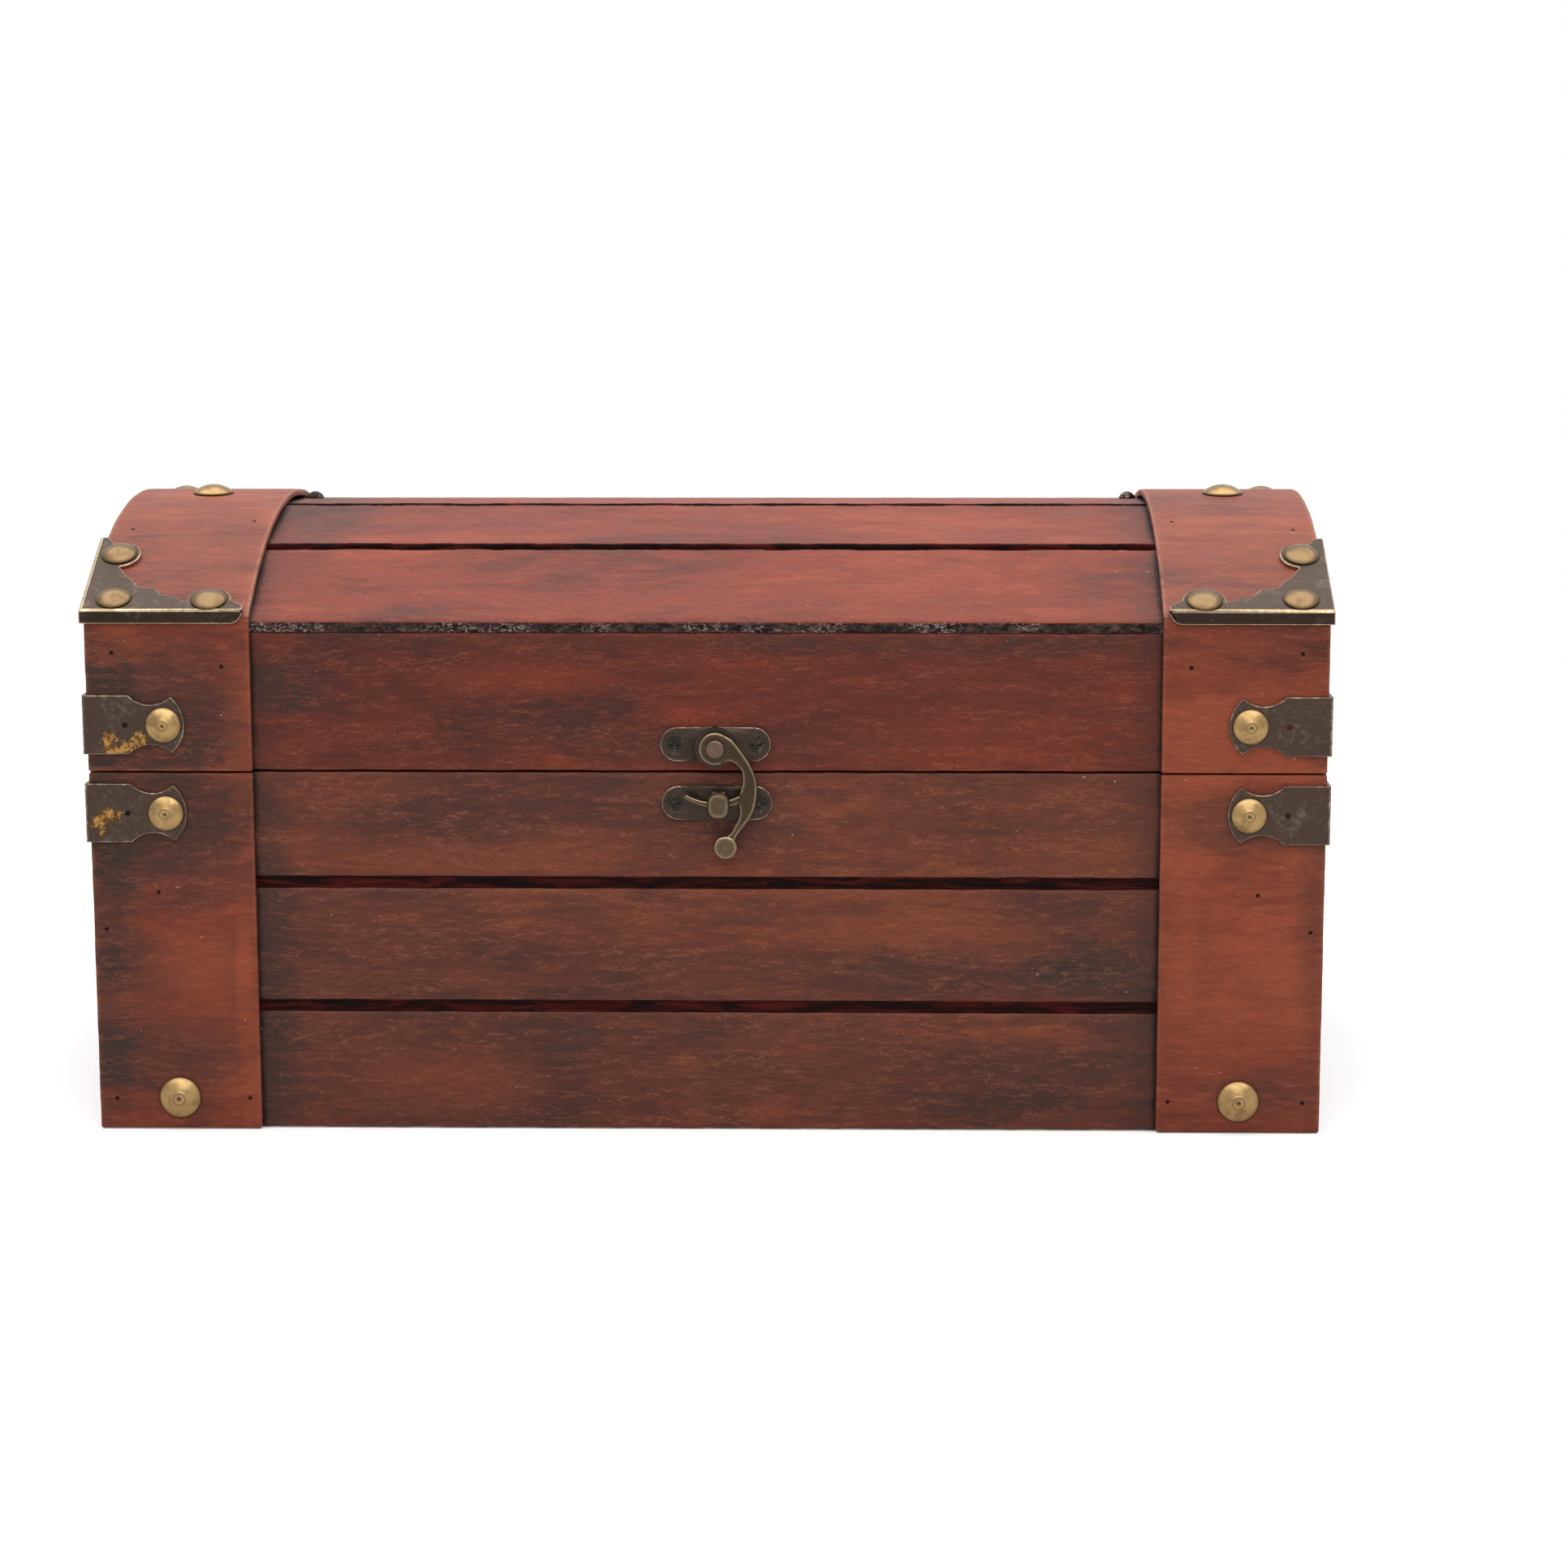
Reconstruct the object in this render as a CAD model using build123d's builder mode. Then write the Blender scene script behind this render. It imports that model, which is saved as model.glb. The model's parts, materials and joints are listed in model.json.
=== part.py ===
from build123d import *
import math
import os

os.makedirs("parts", exist_ok=True)

# Arched wooden treasure chest: a planked body, a slatted lid on two hinges, applied bands at both
# ends, bronze corner fittings held by domed nails, and a swing latch on the front.
# Millimetres, origin in the middle of the underside, +X along the length, +Y to the back, +Z up.

# Overall size of the closed chest, measured on the wood
chest_length = 300.0
chest_depth = 150.0
chest_height = 150.0
arch_rise = 22.6
lid_side_height = 38.0
seam_gap = 0.4

# Wood sections
panel_thick = 6.0
end_thick = 8.0
base_thick = 4.0
band_width = 40.0
band_thick = 1.8
band_chamfer = 0.4
slat_thick = 2.8
rear_slat_share = 0.52
seat_clear = 0.05

# Grooves between the planks
groove_width = 2.6
groove_depth = 1.6

# Sheet metal fittings
sheet_thick = 0.9
strap_height = 14.4
strap_shoulder = 10.4
strap_waist_place = 16.0
strap_waist_height = 9.9
strap_tail_place = 20.6
strap_tail_height = 13.8
strap_length = 23.9
strap_bend = 0.6
strap_nail_place = 18.8
strap_pilot_place = 9.5
strap_pilot_radius = 0.7
body_strap_drop = 10.0
lid_strap_rise = 11.7

# Corner brackets
bracket_long_arm = 38.6
bracket_slope_arm = 31.5
bracket_touch = 17.0
bracket_flange = 3.4
bracket_flange_round = 3.2
bracket_bend = 0.7
bracket_lobe_radius = 5.3
bracket_side_taper = 4.0

# Domed nails
nail_shank_radius = 0.7
nail_point_share = 0.25
nail_clear = 0.05
nail_tip_room = 0.3
nail_rim = 0.35
nail_dimple_radius = 0.6
nail_dimple_depth = 0.3
small_nail_radius = 4.4
small_nail_dome = 2.1
large_nail_radius = 5.2
large_nail_dome = 2.4
strap_nail_length = 6.4
bracket_nail_length = 6.8
band_nail_length = 5.6
apex_nail_length = 4.2
band_nail_inset = 20.0
band_nail_height = 8.0
rear_nail_inset = 6.5
slat_pin_radius = 2.6
slat_pin_dome = 1.8
slat_pin_length = 2.2
slat_pin_inset = 2.9
slat_pin_depth = 19.0

# Headless brads in the bands
brad_radius = 0.6
brad_length = 4.6
brad_sink = 0.4

# Latch on the front
latch_offset = 2.4
pivot_rise = 6.2
plate_rise = 0.7
plate_length = 26.9
plate_height = 8.5
plate_thick = 1.0
plate_screw_spacing = 20.0
boss_radius = 5.0
boss_height = 0.8
latch_play = 0.1
arm_thick = 1.8
arm_reach = 24.2
arm_bow = 10.3
arm_ring_radius = 4.0
arm_knob_radius = 2.9
arm_knob_extra = 0.4
arm_knob_shift = 2.4
rivet_radius = 1.2
rivet_head_radius = 2.25
rivet_head_height = 0.9
rivet_clear = 0.03
keeper_drop = 7.5
keeper_offset = 2.7
keeper_length = 27.0
keeper_height = 8.4
keeper_boss_radius = 4.0
keeper_boss_height = 0.4
keeper_screw_spacing = 20.4
neck_width = 3.0
neck_height = 2.0
neck_rise = 1.3
neck_shift = 0.75
hook_width = 5.4
hook_height = 6.6
hook_thick = 1.6
hook_round = 2.3
hook_edge = 0.4
claw_root_width = 1.8
claw_tip_width = 0.9
claw_root_angle = 28.0
claw_tip_angle = -32.5
claw_clear = 0.2
screw_shank_radius = 0.9
screw_head_radius = 2.1
screw_head_depth = 0.8
screw_length = 5.4
screw_point_share = 0.28
screw_clear = 0.05
screw_cross_width = 0.6
screw_cross_length = 2.4
screw_cross_depth = 0.6

# Hinges on the back
hinge_inset = 75.0
hinge_width = 24.0
hinge_leaf_height = 12.0
hinge_leaf_thick = 1.0
hinge_leaf_gap = 0.3
hinge_standoff = 2.2
knuckle_radius = 1.8
knuckle_gap = 0.2
knuckle_room = 0.5
hinge_pin_radius = 0.8
hinge_pin_clear = 0.03
hinge_pin_head = 0.5
hinge_screw_spacing = 14.0
hinge_screw_place = 7.4
hinge_stop_length = 4.2
hinge_stop_thick = 1.0
hinge_stop_gap = 0.05
lid_opening = 110.0

# One overrun for every cut that passes right through
overrun = 12.0

# Centres of the grooves, as shares of the body's height
groove_shares = (0.345, 0.692)

# Outline of the bracket's lace edge, as shares of the long arm and of the slope arm
lace_shares = (
    (1.000, 0.050),
    (0.910, 0.130),
    (0.650, 0.100),
    (0.605, 0.120),
    (0.565, 0.165),
    (0.465, 0.195),
    (0.425, 0.275),
    (0.315, 0.300),
    (0.295, 0.325),
    (0.280, 0.370),
    (0.252, 0.408),
    (0.220, 0.445),
    (0.190, 0.515),
    (0.162, 0.570),
    (0.168, 0.630),
    (0.145, 0.800),
    (0.030, 1.000),
)
# Nail places on the bracket, with the same shares
bracket_nail_shares = ((0.179, 0.140), (0.780, 0.120), (0.132, 0.755))
# Nails that a lobe of the bracket goes round
bracket_lobe_shares = bracket_nail_shares[1:]

# Edges of the latch arm, as shares of its bow and of its reach
arm_outer_shares = (
    (0.280, 0.120),
    (0.573, -0.004),
    (0.811, -0.149),
    (0.981, -0.318),
    (0.990, -0.450),
    (0.922, -0.616),
    (0.718, -0.785),
    (0.500, -0.900),
)
arm_lower_shares = (
    (0.330, -0.890),
    (0.476, -0.785),
    (0.583, -0.686),
    (0.573, -0.636),
    (0.505, -0.583),
)
arm_inner_shares = (
    (0.476, -0.483),
    (0.592, -0.413),
    (0.660, -0.310),
    (0.621, -0.219),
    (0.505, -0.157),
    (0.330, -0.120),
    (0.150, -0.150),
)

# Brad places: share of the band's width from the chest's end, share of the way up
body_brad_shares = ((0.080, 0.565), (0.405, 0.668), (0.108, 0.086), (0.930, 0.088))
lid_brad_shares = ((0.165, 0.770), (0.830, 0.680))
# On the arch the second share is of the turn from the top of the lid to its shoulder
arch_brad_shares = ((0.140, 0.490), (0.880, 0.420))
# Nails on the arch: one just in front of its top, one towards the rear
apex_nail_share = 0.054
rear_nail_share = 0.406

# Places that follow from the sizes above
half_length = chest_length / 2
half_depth = chest_depth / 2
plank_face = half_depth - band_thick
panel_inside = plank_face - panel_thick
end_inside = half_length - end_thick
shoulder_height = chest_height - arch_rise
seam_height = shoulder_height - lid_side_height
body_top = seam_height - seam_gap / 2
lid_bottom = seam_height + seam_gap / 2
arch_radius = (half_depth**2 + arch_rise**2) / (2 * arch_rise)
arch_centre = chest_height - arch_radius
under_band_radius = arch_radius - band_thick
slat_radius = under_band_radius - seat_clear
shoulder_angle = math.asin(half_depth / arch_radius)
band_inner_shoulder = arch_centre + math.sqrt(under_band_radius**2 - plank_face**2)
pivot_height = seam_height + pivot_rise
keeper_z = seam_height - keeper_drop

corners = ("front_left", "front_right", "back_left", "back_right")
sides = ("left", "right")


def write_piece(piece, name):
    """Label a finished piece and write it as its own file."""
    piece.part.label = name
    export_step(piece.part, f"parts/{name}.step")


def corner_signs(corner):
    """Direction of a corner from the middle of the chest, along the length and the depth."""
    return (1 if "right" in corner else -1), (1 if "back" in corner else -1)


def at_corner(front_left_part, corner):
    """The front left part, mirrored to another corner."""
    part = front_left_part
    if "right" in corner:
        part = mirror(part, about=Plane.YZ)
    if "back" in corner:
        part = mirror(part, about=Plane.XZ)
    return part


def front_plane(x, z, outward):
    """Plane on the front that looks at the viewer: local x along the chest, local y up."""
    return Plane(origin=(x, -outward, z), x_dir=(1, 0, 0), z_dir=(0, -1, 0))


def back_plane(x, z, outward):
    """The same on the back, seen from behind."""
    return Plane(origin=(x, outward, z), x_dir=(-1, 0, 0), z_dir=(0, 1, 0))


def on_arch(radius, angle):
    """Point (y, z) on a circle about the arch's centre; the angle runs from upright to the back."""
    return radius * math.sin(angle), arch_centre + radius * math.cos(angle)


def drill(seats, radius, depth):
    """Cut a round hole inwards from each seat of the part that is being built."""
    with Locations(*seats):
        Cylinder(
            radius,
            depth + overrun,
            align=(Align.CENTER, Align.CENTER, Align.MIN),
            mode=Mode.SUBTRACT,
        )


def sunk(seats, depth):
    """The same seats, moved inwards along their own axis."""
    return [seat.offset(-depth) for seat in seats]


# Seats of the fasteners: planes on the outer surface, with local z pointing outwards


def strap_seats(height):
    """Nail seats on the straps at one height, two on each corner."""
    seats = []
    for corner in corners:
        along, across = corner_signs(corner)
        face = half_depth + sheet_thick
        end = half_length + sheet_thick
        inset_x = half_length - strap_nail_place
        inset_y = half_depth - strap_nail_place
        seats.append(Plane(origin=(along * inset_x, across * face, height), z_dir=(0, across, 0)))
        seats.append(Plane(origin=(along * end, across * inset_y, height), z_dir=(along, 0, 0)))
    return seats


body_strap_height = seam_height - body_strap_drop
body_strap_seats = strap_seats(body_strap_height)
lid_strap_height = seam_height + lid_strap_rise
lid_strap_seats = strap_seats(lid_strap_height)

# The bracket's flat plate touches the arch at one line and meets the front face above the shoulder
touch_angle = -shoulder_angle + bracket_touch / arch_radius
touch_y, touch_z = on_arch(arch_radius + seat_clear, touch_angle)
plate_normal = (0, math.sin(touch_angle), math.cos(touch_angle))
plate_up = (0, math.cos(touch_angle), -math.sin(touch_angle))
fold_z = touch_z + (half_depth + touch_y) * math.tan(touch_angle)
bracket_plane = Plane(origin=(-half_length, -half_depth, fold_z), x_dir=(1, 0, 0), z_dir=plate_normal)
bracket_seats = []
for nail_share in bracket_nail_shares:
    nail_u = nail_share[0] * bracket_long_arm
    nail_s = nail_share[1] * bracket_slope_arm
    nail_point_on_plate = bracket_plane.from_local_coords(Vector(nail_u, nail_s, sheet_thick))
    for corner in corners:
        along, across = corner_signs(corner)
        seat_origin = (
            -along * nail_point_on_plate.X,
            -across * nail_point_on_plate.Y,
            nail_point_on_plate.Z,
        )
        seat_normal = (0, -across * plate_normal[1], plate_normal[2])
        bracket_seats.append(Plane(origin=seat_origin, z_dir=seat_normal))

body_band_seats = []
for corner in corners:
    along, across = corner_signs(corner)
    nail_x = along * (half_length - band_nail_inset)
    body_band_seats.append(
        Plane(origin=(nail_x, across * half_depth, band_nail_height), z_dir=(0, across, 0))
    )


def arch_seat(x, angle, radius):
    """Seat on the arch at one place along the chest, facing away from the arch's centre."""
    y, z = on_arch(radius, angle)
    return Plane(origin=(x, y, z), z_dir=(0, math.sin(angle), math.cos(angle)))


apex_nail_angle = -apex_nail_share * shoulder_angle
apex_nail_x = half_length - band_nail_inset
apex_seats = [arch_seat(sign * apex_nail_x, apex_nail_angle, arch_radius) for sign in (-1, 1)]
rear_nail_angle = rear_nail_share * shoulder_angle
rear_nail_x = half_length - rear_nail_inset
rear_seats = [arch_seat(sign * rear_nail_x, rear_nail_angle, arch_radius) for sign in (-1, 1)]

body_brad_seats = []
lid_brad_seats = []
for corner in corners:
    along, across = corner_signs(corner)
    for inset_share, rise_share in body_brad_shares:
        brad_x = along * (half_length - inset_share * band_width)
        brad_origin = (brad_x, across * half_depth, rise_share * body_top)
        body_brad_seats.append(Plane(origin=brad_origin, z_dir=(0, across, 0)))
    for inset_share, rise_share in lid_brad_shares:
        brad_x = along * (half_length - inset_share * band_width)
        brad_z = lid_bottom + rise_share * (shoulder_height - lid_bottom)
        lid_brad_seats.append(Plane(origin=(brad_x, across * half_depth, brad_z), z_dir=(0, across, 0)))
    for inset_share, turn_share in arch_brad_shares:
        brad_x = along * (half_length - inset_share * band_width)
        lid_brad_seats.append(arch_seat(brad_x, across * turn_share * shoulder_angle, arch_radius))

latch_plate_x = latch_offset
latch_plate_z = pivot_height + plate_rise
latch_screw_seats = [
    front_plane(latch_plate_x + sign * plate_screw_spacing / 2, latch_plate_z, plank_face + plate_thick)
    for sign in (-1, 1)
]
keeper_screw_seats = [
    front_plane(keeper_offset + sign * keeper_screw_spacing / 2, keeper_z, plank_face + plate_thick)
    for sign in (-1, 1)
]
pivot_seat = front_plane(latch_offset, pivot_height, plank_face)

hinge_place = half_length - hinge_inset
hinge_leaf_face = plank_face + hinge_leaf_thick
hinge_body_screw_seats = []
hinge_lid_screw_seats = []
for side_sign in (-1, 1):
    for screw_sign in (-1, 1):
        screw_x = side_sign * hinge_place + screw_sign * hinge_screw_spacing / 2
        screw_below = seam_height - hinge_screw_place
        screw_above = seam_height + hinge_screw_place
        hinge_body_screw_seats.append(back_plane(screw_x, screw_below, hinge_leaf_face))
        hinge_lid_screw_seats.append(back_plane(screw_x, screw_above, hinge_leaf_face))


def drill_nails(seats, length):
    """Holes for domed nails, a little wider and deeper than their shanks."""
    depth = length + nail_tip_room
    drill(sunk(seats, depth), nail_shank_radius + nail_clear, depth)


def drill_brads(seats):
    """Holes for the headless brads."""
    depth = brad_sink + brad_length + nail_tip_room
    drill(sunk(seats, depth), brad_radius + nail_clear, depth)


def drill_screws(seats):
    """Holes for the small wood screws."""
    depth = screw_length + nail_tip_room
    drill(sunk(seats, depth), screw_shank_radius + screw_clear, depth)


# Body panels and base


def planked_panel(thick, outer_face):
    """Front panel of the body, with a groove at each plank joint."""
    with BuildSketch(Plane.YZ.offset(-half_length)) as profile:
        with BuildLine():
            points = [(-outer_face + thick, 0), (-outer_face, 0)]
            for groove_share in groove_shares:
                groove_centre = groove_share * body_top
                points.append((-outer_face, groove_centre - groove_width / 2))
                points.append((-outer_face + groove_depth, groove_centre - groove_width / 2))
                points.append((-outer_face + groove_depth, groove_centre + groove_width / 2))
                points.append((-outer_face, groove_centre + groove_width / 2))
            points.append((-outer_face, body_top))
            points.append((-outer_face + thick, body_top))
            Polyline(*points, close=True)
        make_face()
    extrude(profile.sketch, amount=chest_length)


with BuildPart() as body_front_panel:
    planked_panel(panel_thick, plank_face)
    drill_nails(body_strap_seats, strap_nail_length)
    drill_nails(body_band_seats, band_nail_length)
    drill_brads(body_brad_seats)
    drill_screws(keeper_screw_seats)
write_piece(body_front_panel, "body_front_panel")

with BuildPart() as body_back_panel:
    planked_panel(panel_thick, plank_face)
    mirror(about=Plane.XZ, mode=Mode.REPLACE)
    drill_nails(body_strap_seats, strap_nail_length)
    drill_nails(body_band_seats, band_nail_length)
    drill_brads(body_brad_seats)
    drill_screws(hinge_body_screw_seats)
write_piece(body_back_panel, "body_back_panel")

for side, side_sign in zip(sides, (-1, 1)):
    with BuildPart() as body_end:
        with BuildSketch(Plane.XZ.offset(-panel_inside)):
            with BuildLine():
                outer = side_sign * half_length
                groove_floor = side_sign * (half_length - groove_depth)
                end_points = [(side_sign * end_inside, 0), (outer, 0)]
                for groove_share in groove_shares:
                    groove_centre = groove_share * body_top
                    end_points.append((outer, groove_centre - groove_width / 2))
                    end_points.append((groove_floor, groove_centre - groove_width / 2))
                    end_points.append((groove_floor, groove_centre + groove_width / 2))
                    end_points.append((outer, groove_centre + groove_width / 2))
                end_points.append((outer, body_top))
                end_points.append((side_sign * end_inside, body_top))
                Polyline(*end_points, close=True)
            make_face()
        extrude(amount=2 * panel_inside)
        drill_nails(body_strap_seats, strap_nail_length)
    write_piece(body_end, f"body_end_{side}")

with BuildPart() as base_board:
    Box(2 * end_inside, 2 * panel_inside, base_thick, align=(Align.CENTER, Align.CENTER, Align.MIN))
write_piece(base_board, "base_board")

# Upright bands of the body

for corner in corners:
    along, across = corner_signs(corner)
    with BuildPart() as body_band:
        with BuildSketch(Plane.XY):
            with Locations((along * (half_length - band_width / 2), across * (half_depth - band_thick / 2))):
                Rectangle(band_width, band_thick)
        extrude(amount=body_top)
        outer_edges = body_band.edges().filter_by(Axis.Z).sort_by(Axis.Y, reverse=across > 0)[:2]
        chamfer(outer_edges, band_chamfer)
        drill_nails(body_band_seats, band_nail_length)
        drill_nails(body_strap_seats, strap_nail_length)
        drill_brads(body_brad_seats)
    write_piece(body_band, f"body_band_{corner}")

# Slats of the lid: flat boards whose corners lie on the arch, each with a thin tongue below the
# groove that reaches the next slat

front_angle = -math.asin(plank_face / slat_radius)
groove_angle = 2 * math.asin(groove_width / (2 * slat_radius))
slat_names = ("lid_slat_1", "lid_slat_2", "lid_slat_3", "lid_slat_4", "lid_slat_5")
pinned_slat = slat_names[len(slat_names) // 2]
full_slats = len(slat_names) - 1
slat_angle = (-2 * front_angle - full_slats * groove_angle) / (full_slats + rear_slat_share)


def slat_ends(index):
    """Angles of the front and the rear edge of one slat."""
    start = front_angle + index * (slat_angle + groove_angle)
    stop = start + slat_angle if index < full_slats else -front_angle
    return start, stop


def slat_point(index, place, depth):
    """Point (y, z) of a slat at its front edge (0) or rear edge (1), depth below its top."""
    start, stop = slat_ends(index)
    front = Vector(*on_arch(slat_radius, start))
    rear = Vector(*on_arch(slat_radius, stop))
    run = (rear - front).normalized()
    inward = Vector(run.Y, -run.X)
    return (rear if place else front) + inward * depth


def underside_height(index, y):
    """Height of one slat's underside at a depth y of the chest."""
    front = slat_point(index, 0, slat_thick)
    rear = slat_point(index, 1, slat_thick)
    return front.Y + (rear.Y - front.Y) * (y - front.X) / (rear.X - front.X)


for index, name in enumerate(slat_names):
    outline = [slat_point(index, 0, 0), slat_point(index, 1, 0)]
    if index < full_slats:
        outline.append(slat_point(index, 1, groove_depth))
        outline.append(slat_point(index + 1, 0, groove_depth))
        outline.append(slat_point(index + 1, 0, slat_thick))
        outline.append(slat_point(index, 1, slat_thick))
    else:
        outline.append(Vector(plank_face, underside_height(index, plank_face)))
    if index > 0:
        outline.append(slat_point(index, 0, slat_thick))
    else:
        outline.append(Vector(-plank_face, underside_height(index, -plank_face)))
    with BuildPart() as lid_slat:
        with BuildSketch(Plane.YZ.offset(-half_length)):
            with BuildLine():
                Polyline(*[(point.X, point.Y) for point in outline], close=True)
            make_face()
        extrude(amount=chest_length)
        drill_nails(bracket_seats, bracket_nail_length)
        drill_nails(apex_seats, apex_nail_length)
        drill_nails(rear_seats, bracket_nail_length)
        drill_brads(lid_brad_seats)
        if name == pinned_slat:
            pin_seat_angle = sum(slat_ends(index)) / 2
            pin_front = slat_point(index, 0, 0)
            pin_rear = slat_point(index, 1, 0)
            pin_share = (slat_pin_depth - pin_front.X) / (pin_rear.X - pin_front.X)
            pin_z = pin_front.Y + pin_share * (pin_rear.Y - pin_front.Y)
            pin_normal = (0, math.sin(pin_seat_angle), math.cos(pin_seat_angle))
            pin_x = half_length - band_width - slat_pin_inset
            slat_pin_seats = [
                Plane(origin=(sign * pin_x, slat_pin_depth, pin_z), z_dir=pin_normal) for sign in (-1, 1)
            ]
            drill_nails(slat_pin_seats, slat_pin_length)
    write_piece(lid_slat, name)

# Lid panels and end boards, cut to the underside of the slats

last_slat = full_slats
for name, across, slat_index in (("lid_front_panel", -1, 0), ("lid_back_panel", 1, last_slat)):
    outer_y = across * plank_face
    inner_y = across * panel_inside
    with BuildPart() as lid_panel:
        with BuildSketch(Plane.YZ.offset(-half_length)):
            with BuildLine():
                Polyline(
                    (outer_y, lid_bottom),
                    (inner_y, lid_bottom),
                    (inner_y, underside_height(slat_index, inner_y)),
                    (outer_y, underside_height(slat_index, outer_y)),
                    close=True,
                )
            make_face()
        extrude(amount=chest_length)
        drill_nails(lid_strap_seats, strap_nail_length)
        drill_nails(bracket_seats, bracket_nail_length)
        drill_brads(lid_brad_seats)
        if across < 0:
            drill_screws(latch_screw_seats)
        else:
            drill_screws(hinge_lid_screw_seats)
    write_piece(lid_panel, name)

end_outline = [
    (-panel_inside, lid_bottom),
    (panel_inside, lid_bottom),
    (panel_inside, underside_height(last_slat, panel_inside)),
]
for index in range(last_slat, -1, -1):
    slat_front = slat_point(index, 0, slat_thick)
    slat_rear = slat_point(index, 1, slat_thick)
    if index < last_slat:
        end_outline.append((slat_rear.X, slat_rear.Y))
    if index > 0:
        end_outline.append((slat_front.X, slat_front.Y))
end_outline.append((-panel_inside, underside_height(0, -panel_inside)))

for side, side_sign in zip(sides, (-1, 1)):
    with BuildPart() as lid_end:
        with BuildSketch(Plane.YZ.offset(side_sign * end_inside)):
            with BuildLine():
                Polyline(*end_outline, close=True)
            make_face()
        extrude(amount=side_sign * end_thick)
        drill_nails(lid_strap_seats, strap_nail_length)
        drill_nails(bracket_seats, bracket_nail_length)
        drill_nails(rear_seats, bracket_nail_length)
        drill_brads(lid_brad_seats)
    write_piece(lid_end, f"lid_end_{side}")

# Bands of the lid: one bent over the arch at each end, mitred to an upright one at every corner

for side, side_sign in zip(sides, (-1, 1)):
    with BuildPart() as arch_band:
        with BuildSketch(Plane.YZ.offset(side_sign * (half_length - band_width))):
            with BuildLine():
                ThreePointArc(
                    (-half_depth, shoulder_height),
                    (0, chest_height),
                    (half_depth, shoulder_height),
                )
                Line((half_depth, shoulder_height), (plank_face, band_inner_shoulder))
                ThreePointArc(
                    (plank_face, band_inner_shoulder),
                    (0, chest_height - band_thick),
                    (-plank_face, band_inner_shoulder),
                )
                Line((-plank_face, band_inner_shoulder), (-half_depth, shoulder_height))
            make_face()
        extrude(amount=side_sign * band_width)
        drill_nails(bracket_seats, bracket_nail_length)
        drill_nails(apex_seats, apex_nail_length)
        drill_nails(rear_seats, bracket_nail_length)
        drill_brads(lid_brad_seats)
    write_piece(arch_band, f"lid_band_arch_{side}")

for corner in corners:
    along, across = corner_signs(corner)
    with BuildPart() as lid_band:
        with BuildSketch(Plane.YZ.offset(along * (half_length - band_width))):
            with BuildLine():
                Polyline(
                    (across * half_depth, lid_bottom),
                    (across * plank_face, lid_bottom),
                    (across * plank_face, band_inner_shoulder),
                    (across * half_depth, shoulder_height),
                    close=True,
                )
            make_face()
        extrude(amount=along * band_width)
        upright_edges = lid_band.edges().filter_by(Axis.Z).sort_by(Axis.Y, reverse=across > 0)[:2]
        chamfer(upright_edges, band_chamfer)
        drill_nails(lid_strap_seats, strap_nail_length)
        drill_brads(lid_brad_seats)
    write_piece(lid_band, f"lid_band_{corner}")

# Corner straps, bent round the upright corners


def strap_leg(plane, start):
    """One leg on a plane, from a distance past the corner to its rounded fishtail."""
    with BuildSketch(plane) as leg:
        with BuildLine():
            Line((start, -strap_height / 2), (start, strap_height / 2))
            Line((start, strap_height / 2), (strap_shoulder, strap_height / 2))
            ThreePointArc(
                (strap_shoulder, strap_height / 2),
                (strap_waist_place, strap_waist_height / 2),
                (strap_tail_place, strap_tail_height / 2),
            )
            ThreePointArc(
                (strap_tail_place, strap_tail_height / 2),
                (strap_length, 0),
                (strap_tail_place, -strap_tail_height / 2),
            )
            ThreePointArc(
                (strap_tail_place, -strap_tail_height / 2),
                (strap_waist_place, -strap_waist_height / 2),
                (strap_shoulder, -strap_height / 2),
            )
            Line((strap_shoulder, -strap_height / 2), (start, -strap_height / 2))
        make_face()
        with Locations((strap_pilot_place, 0)):
            Circle(strap_pilot_radius, mode=Mode.SUBTRACT)
        with Locations((strap_nail_place, 0)):
            Circle(nail_shank_radius + nail_clear, mode=Mode.SUBTRACT)
    extrude(leg.sketch, amount=sheet_thick)


def strap_part(height):
    """Front left strap at one height: a leg on the front and the same leg on the end."""
    corner_point = (-half_length, -half_depth, height)
    with BuildPart() as strap:
        strap_leg(Plane(origin=corner_point, x_dir=(1, 0, 0), z_dir=(0, -1, 0)), -sheet_thick)
        strap_leg(Plane(origin=corner_point, x_dir=(0, 1, 0), z_dir=(-1, 0, 0)), 0)
        corner_edge = strap.edges().filter_by(Axis.Z).sort_by(Axis.X)[:2].sort_by(Axis.Y)[0]
        fillet(corner_edge, strap_bend)
    return strap.part


for group, height in (("body", body_strap_height), ("lid", lid_strap_height)):
    front_left_strap = strap_part(height)
    for corner in corners:
        mirrored_strap = at_corner(front_left_strap, corner)
        with BuildPart() as strap:
            add(mirrored_strap)
        write_piece(strap, f"{group}_strap_{corner}")

# Corner brackets: a flat lace plate on the arch with a flange down the front and the end

fold_outer_y = -half_depth - sheet_thick
plate_top_at_fold = fold_z + sheet_thick / math.cos(touch_angle)
outer_fold_z = plate_top_at_fold + sheet_thick * math.tan(touch_angle)
flange_bottom = outer_fold_z - bracket_flange


def slope_point(distance, depth):
    """Point (y, z) up the slope from the fold, depth below the plate's underside."""
    y = -half_depth + distance * plate_up[1] - depth * plate_normal[1]
    z = fold_z + distance * plate_up[2] - depth * plate_normal[2]
    return y, z


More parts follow.
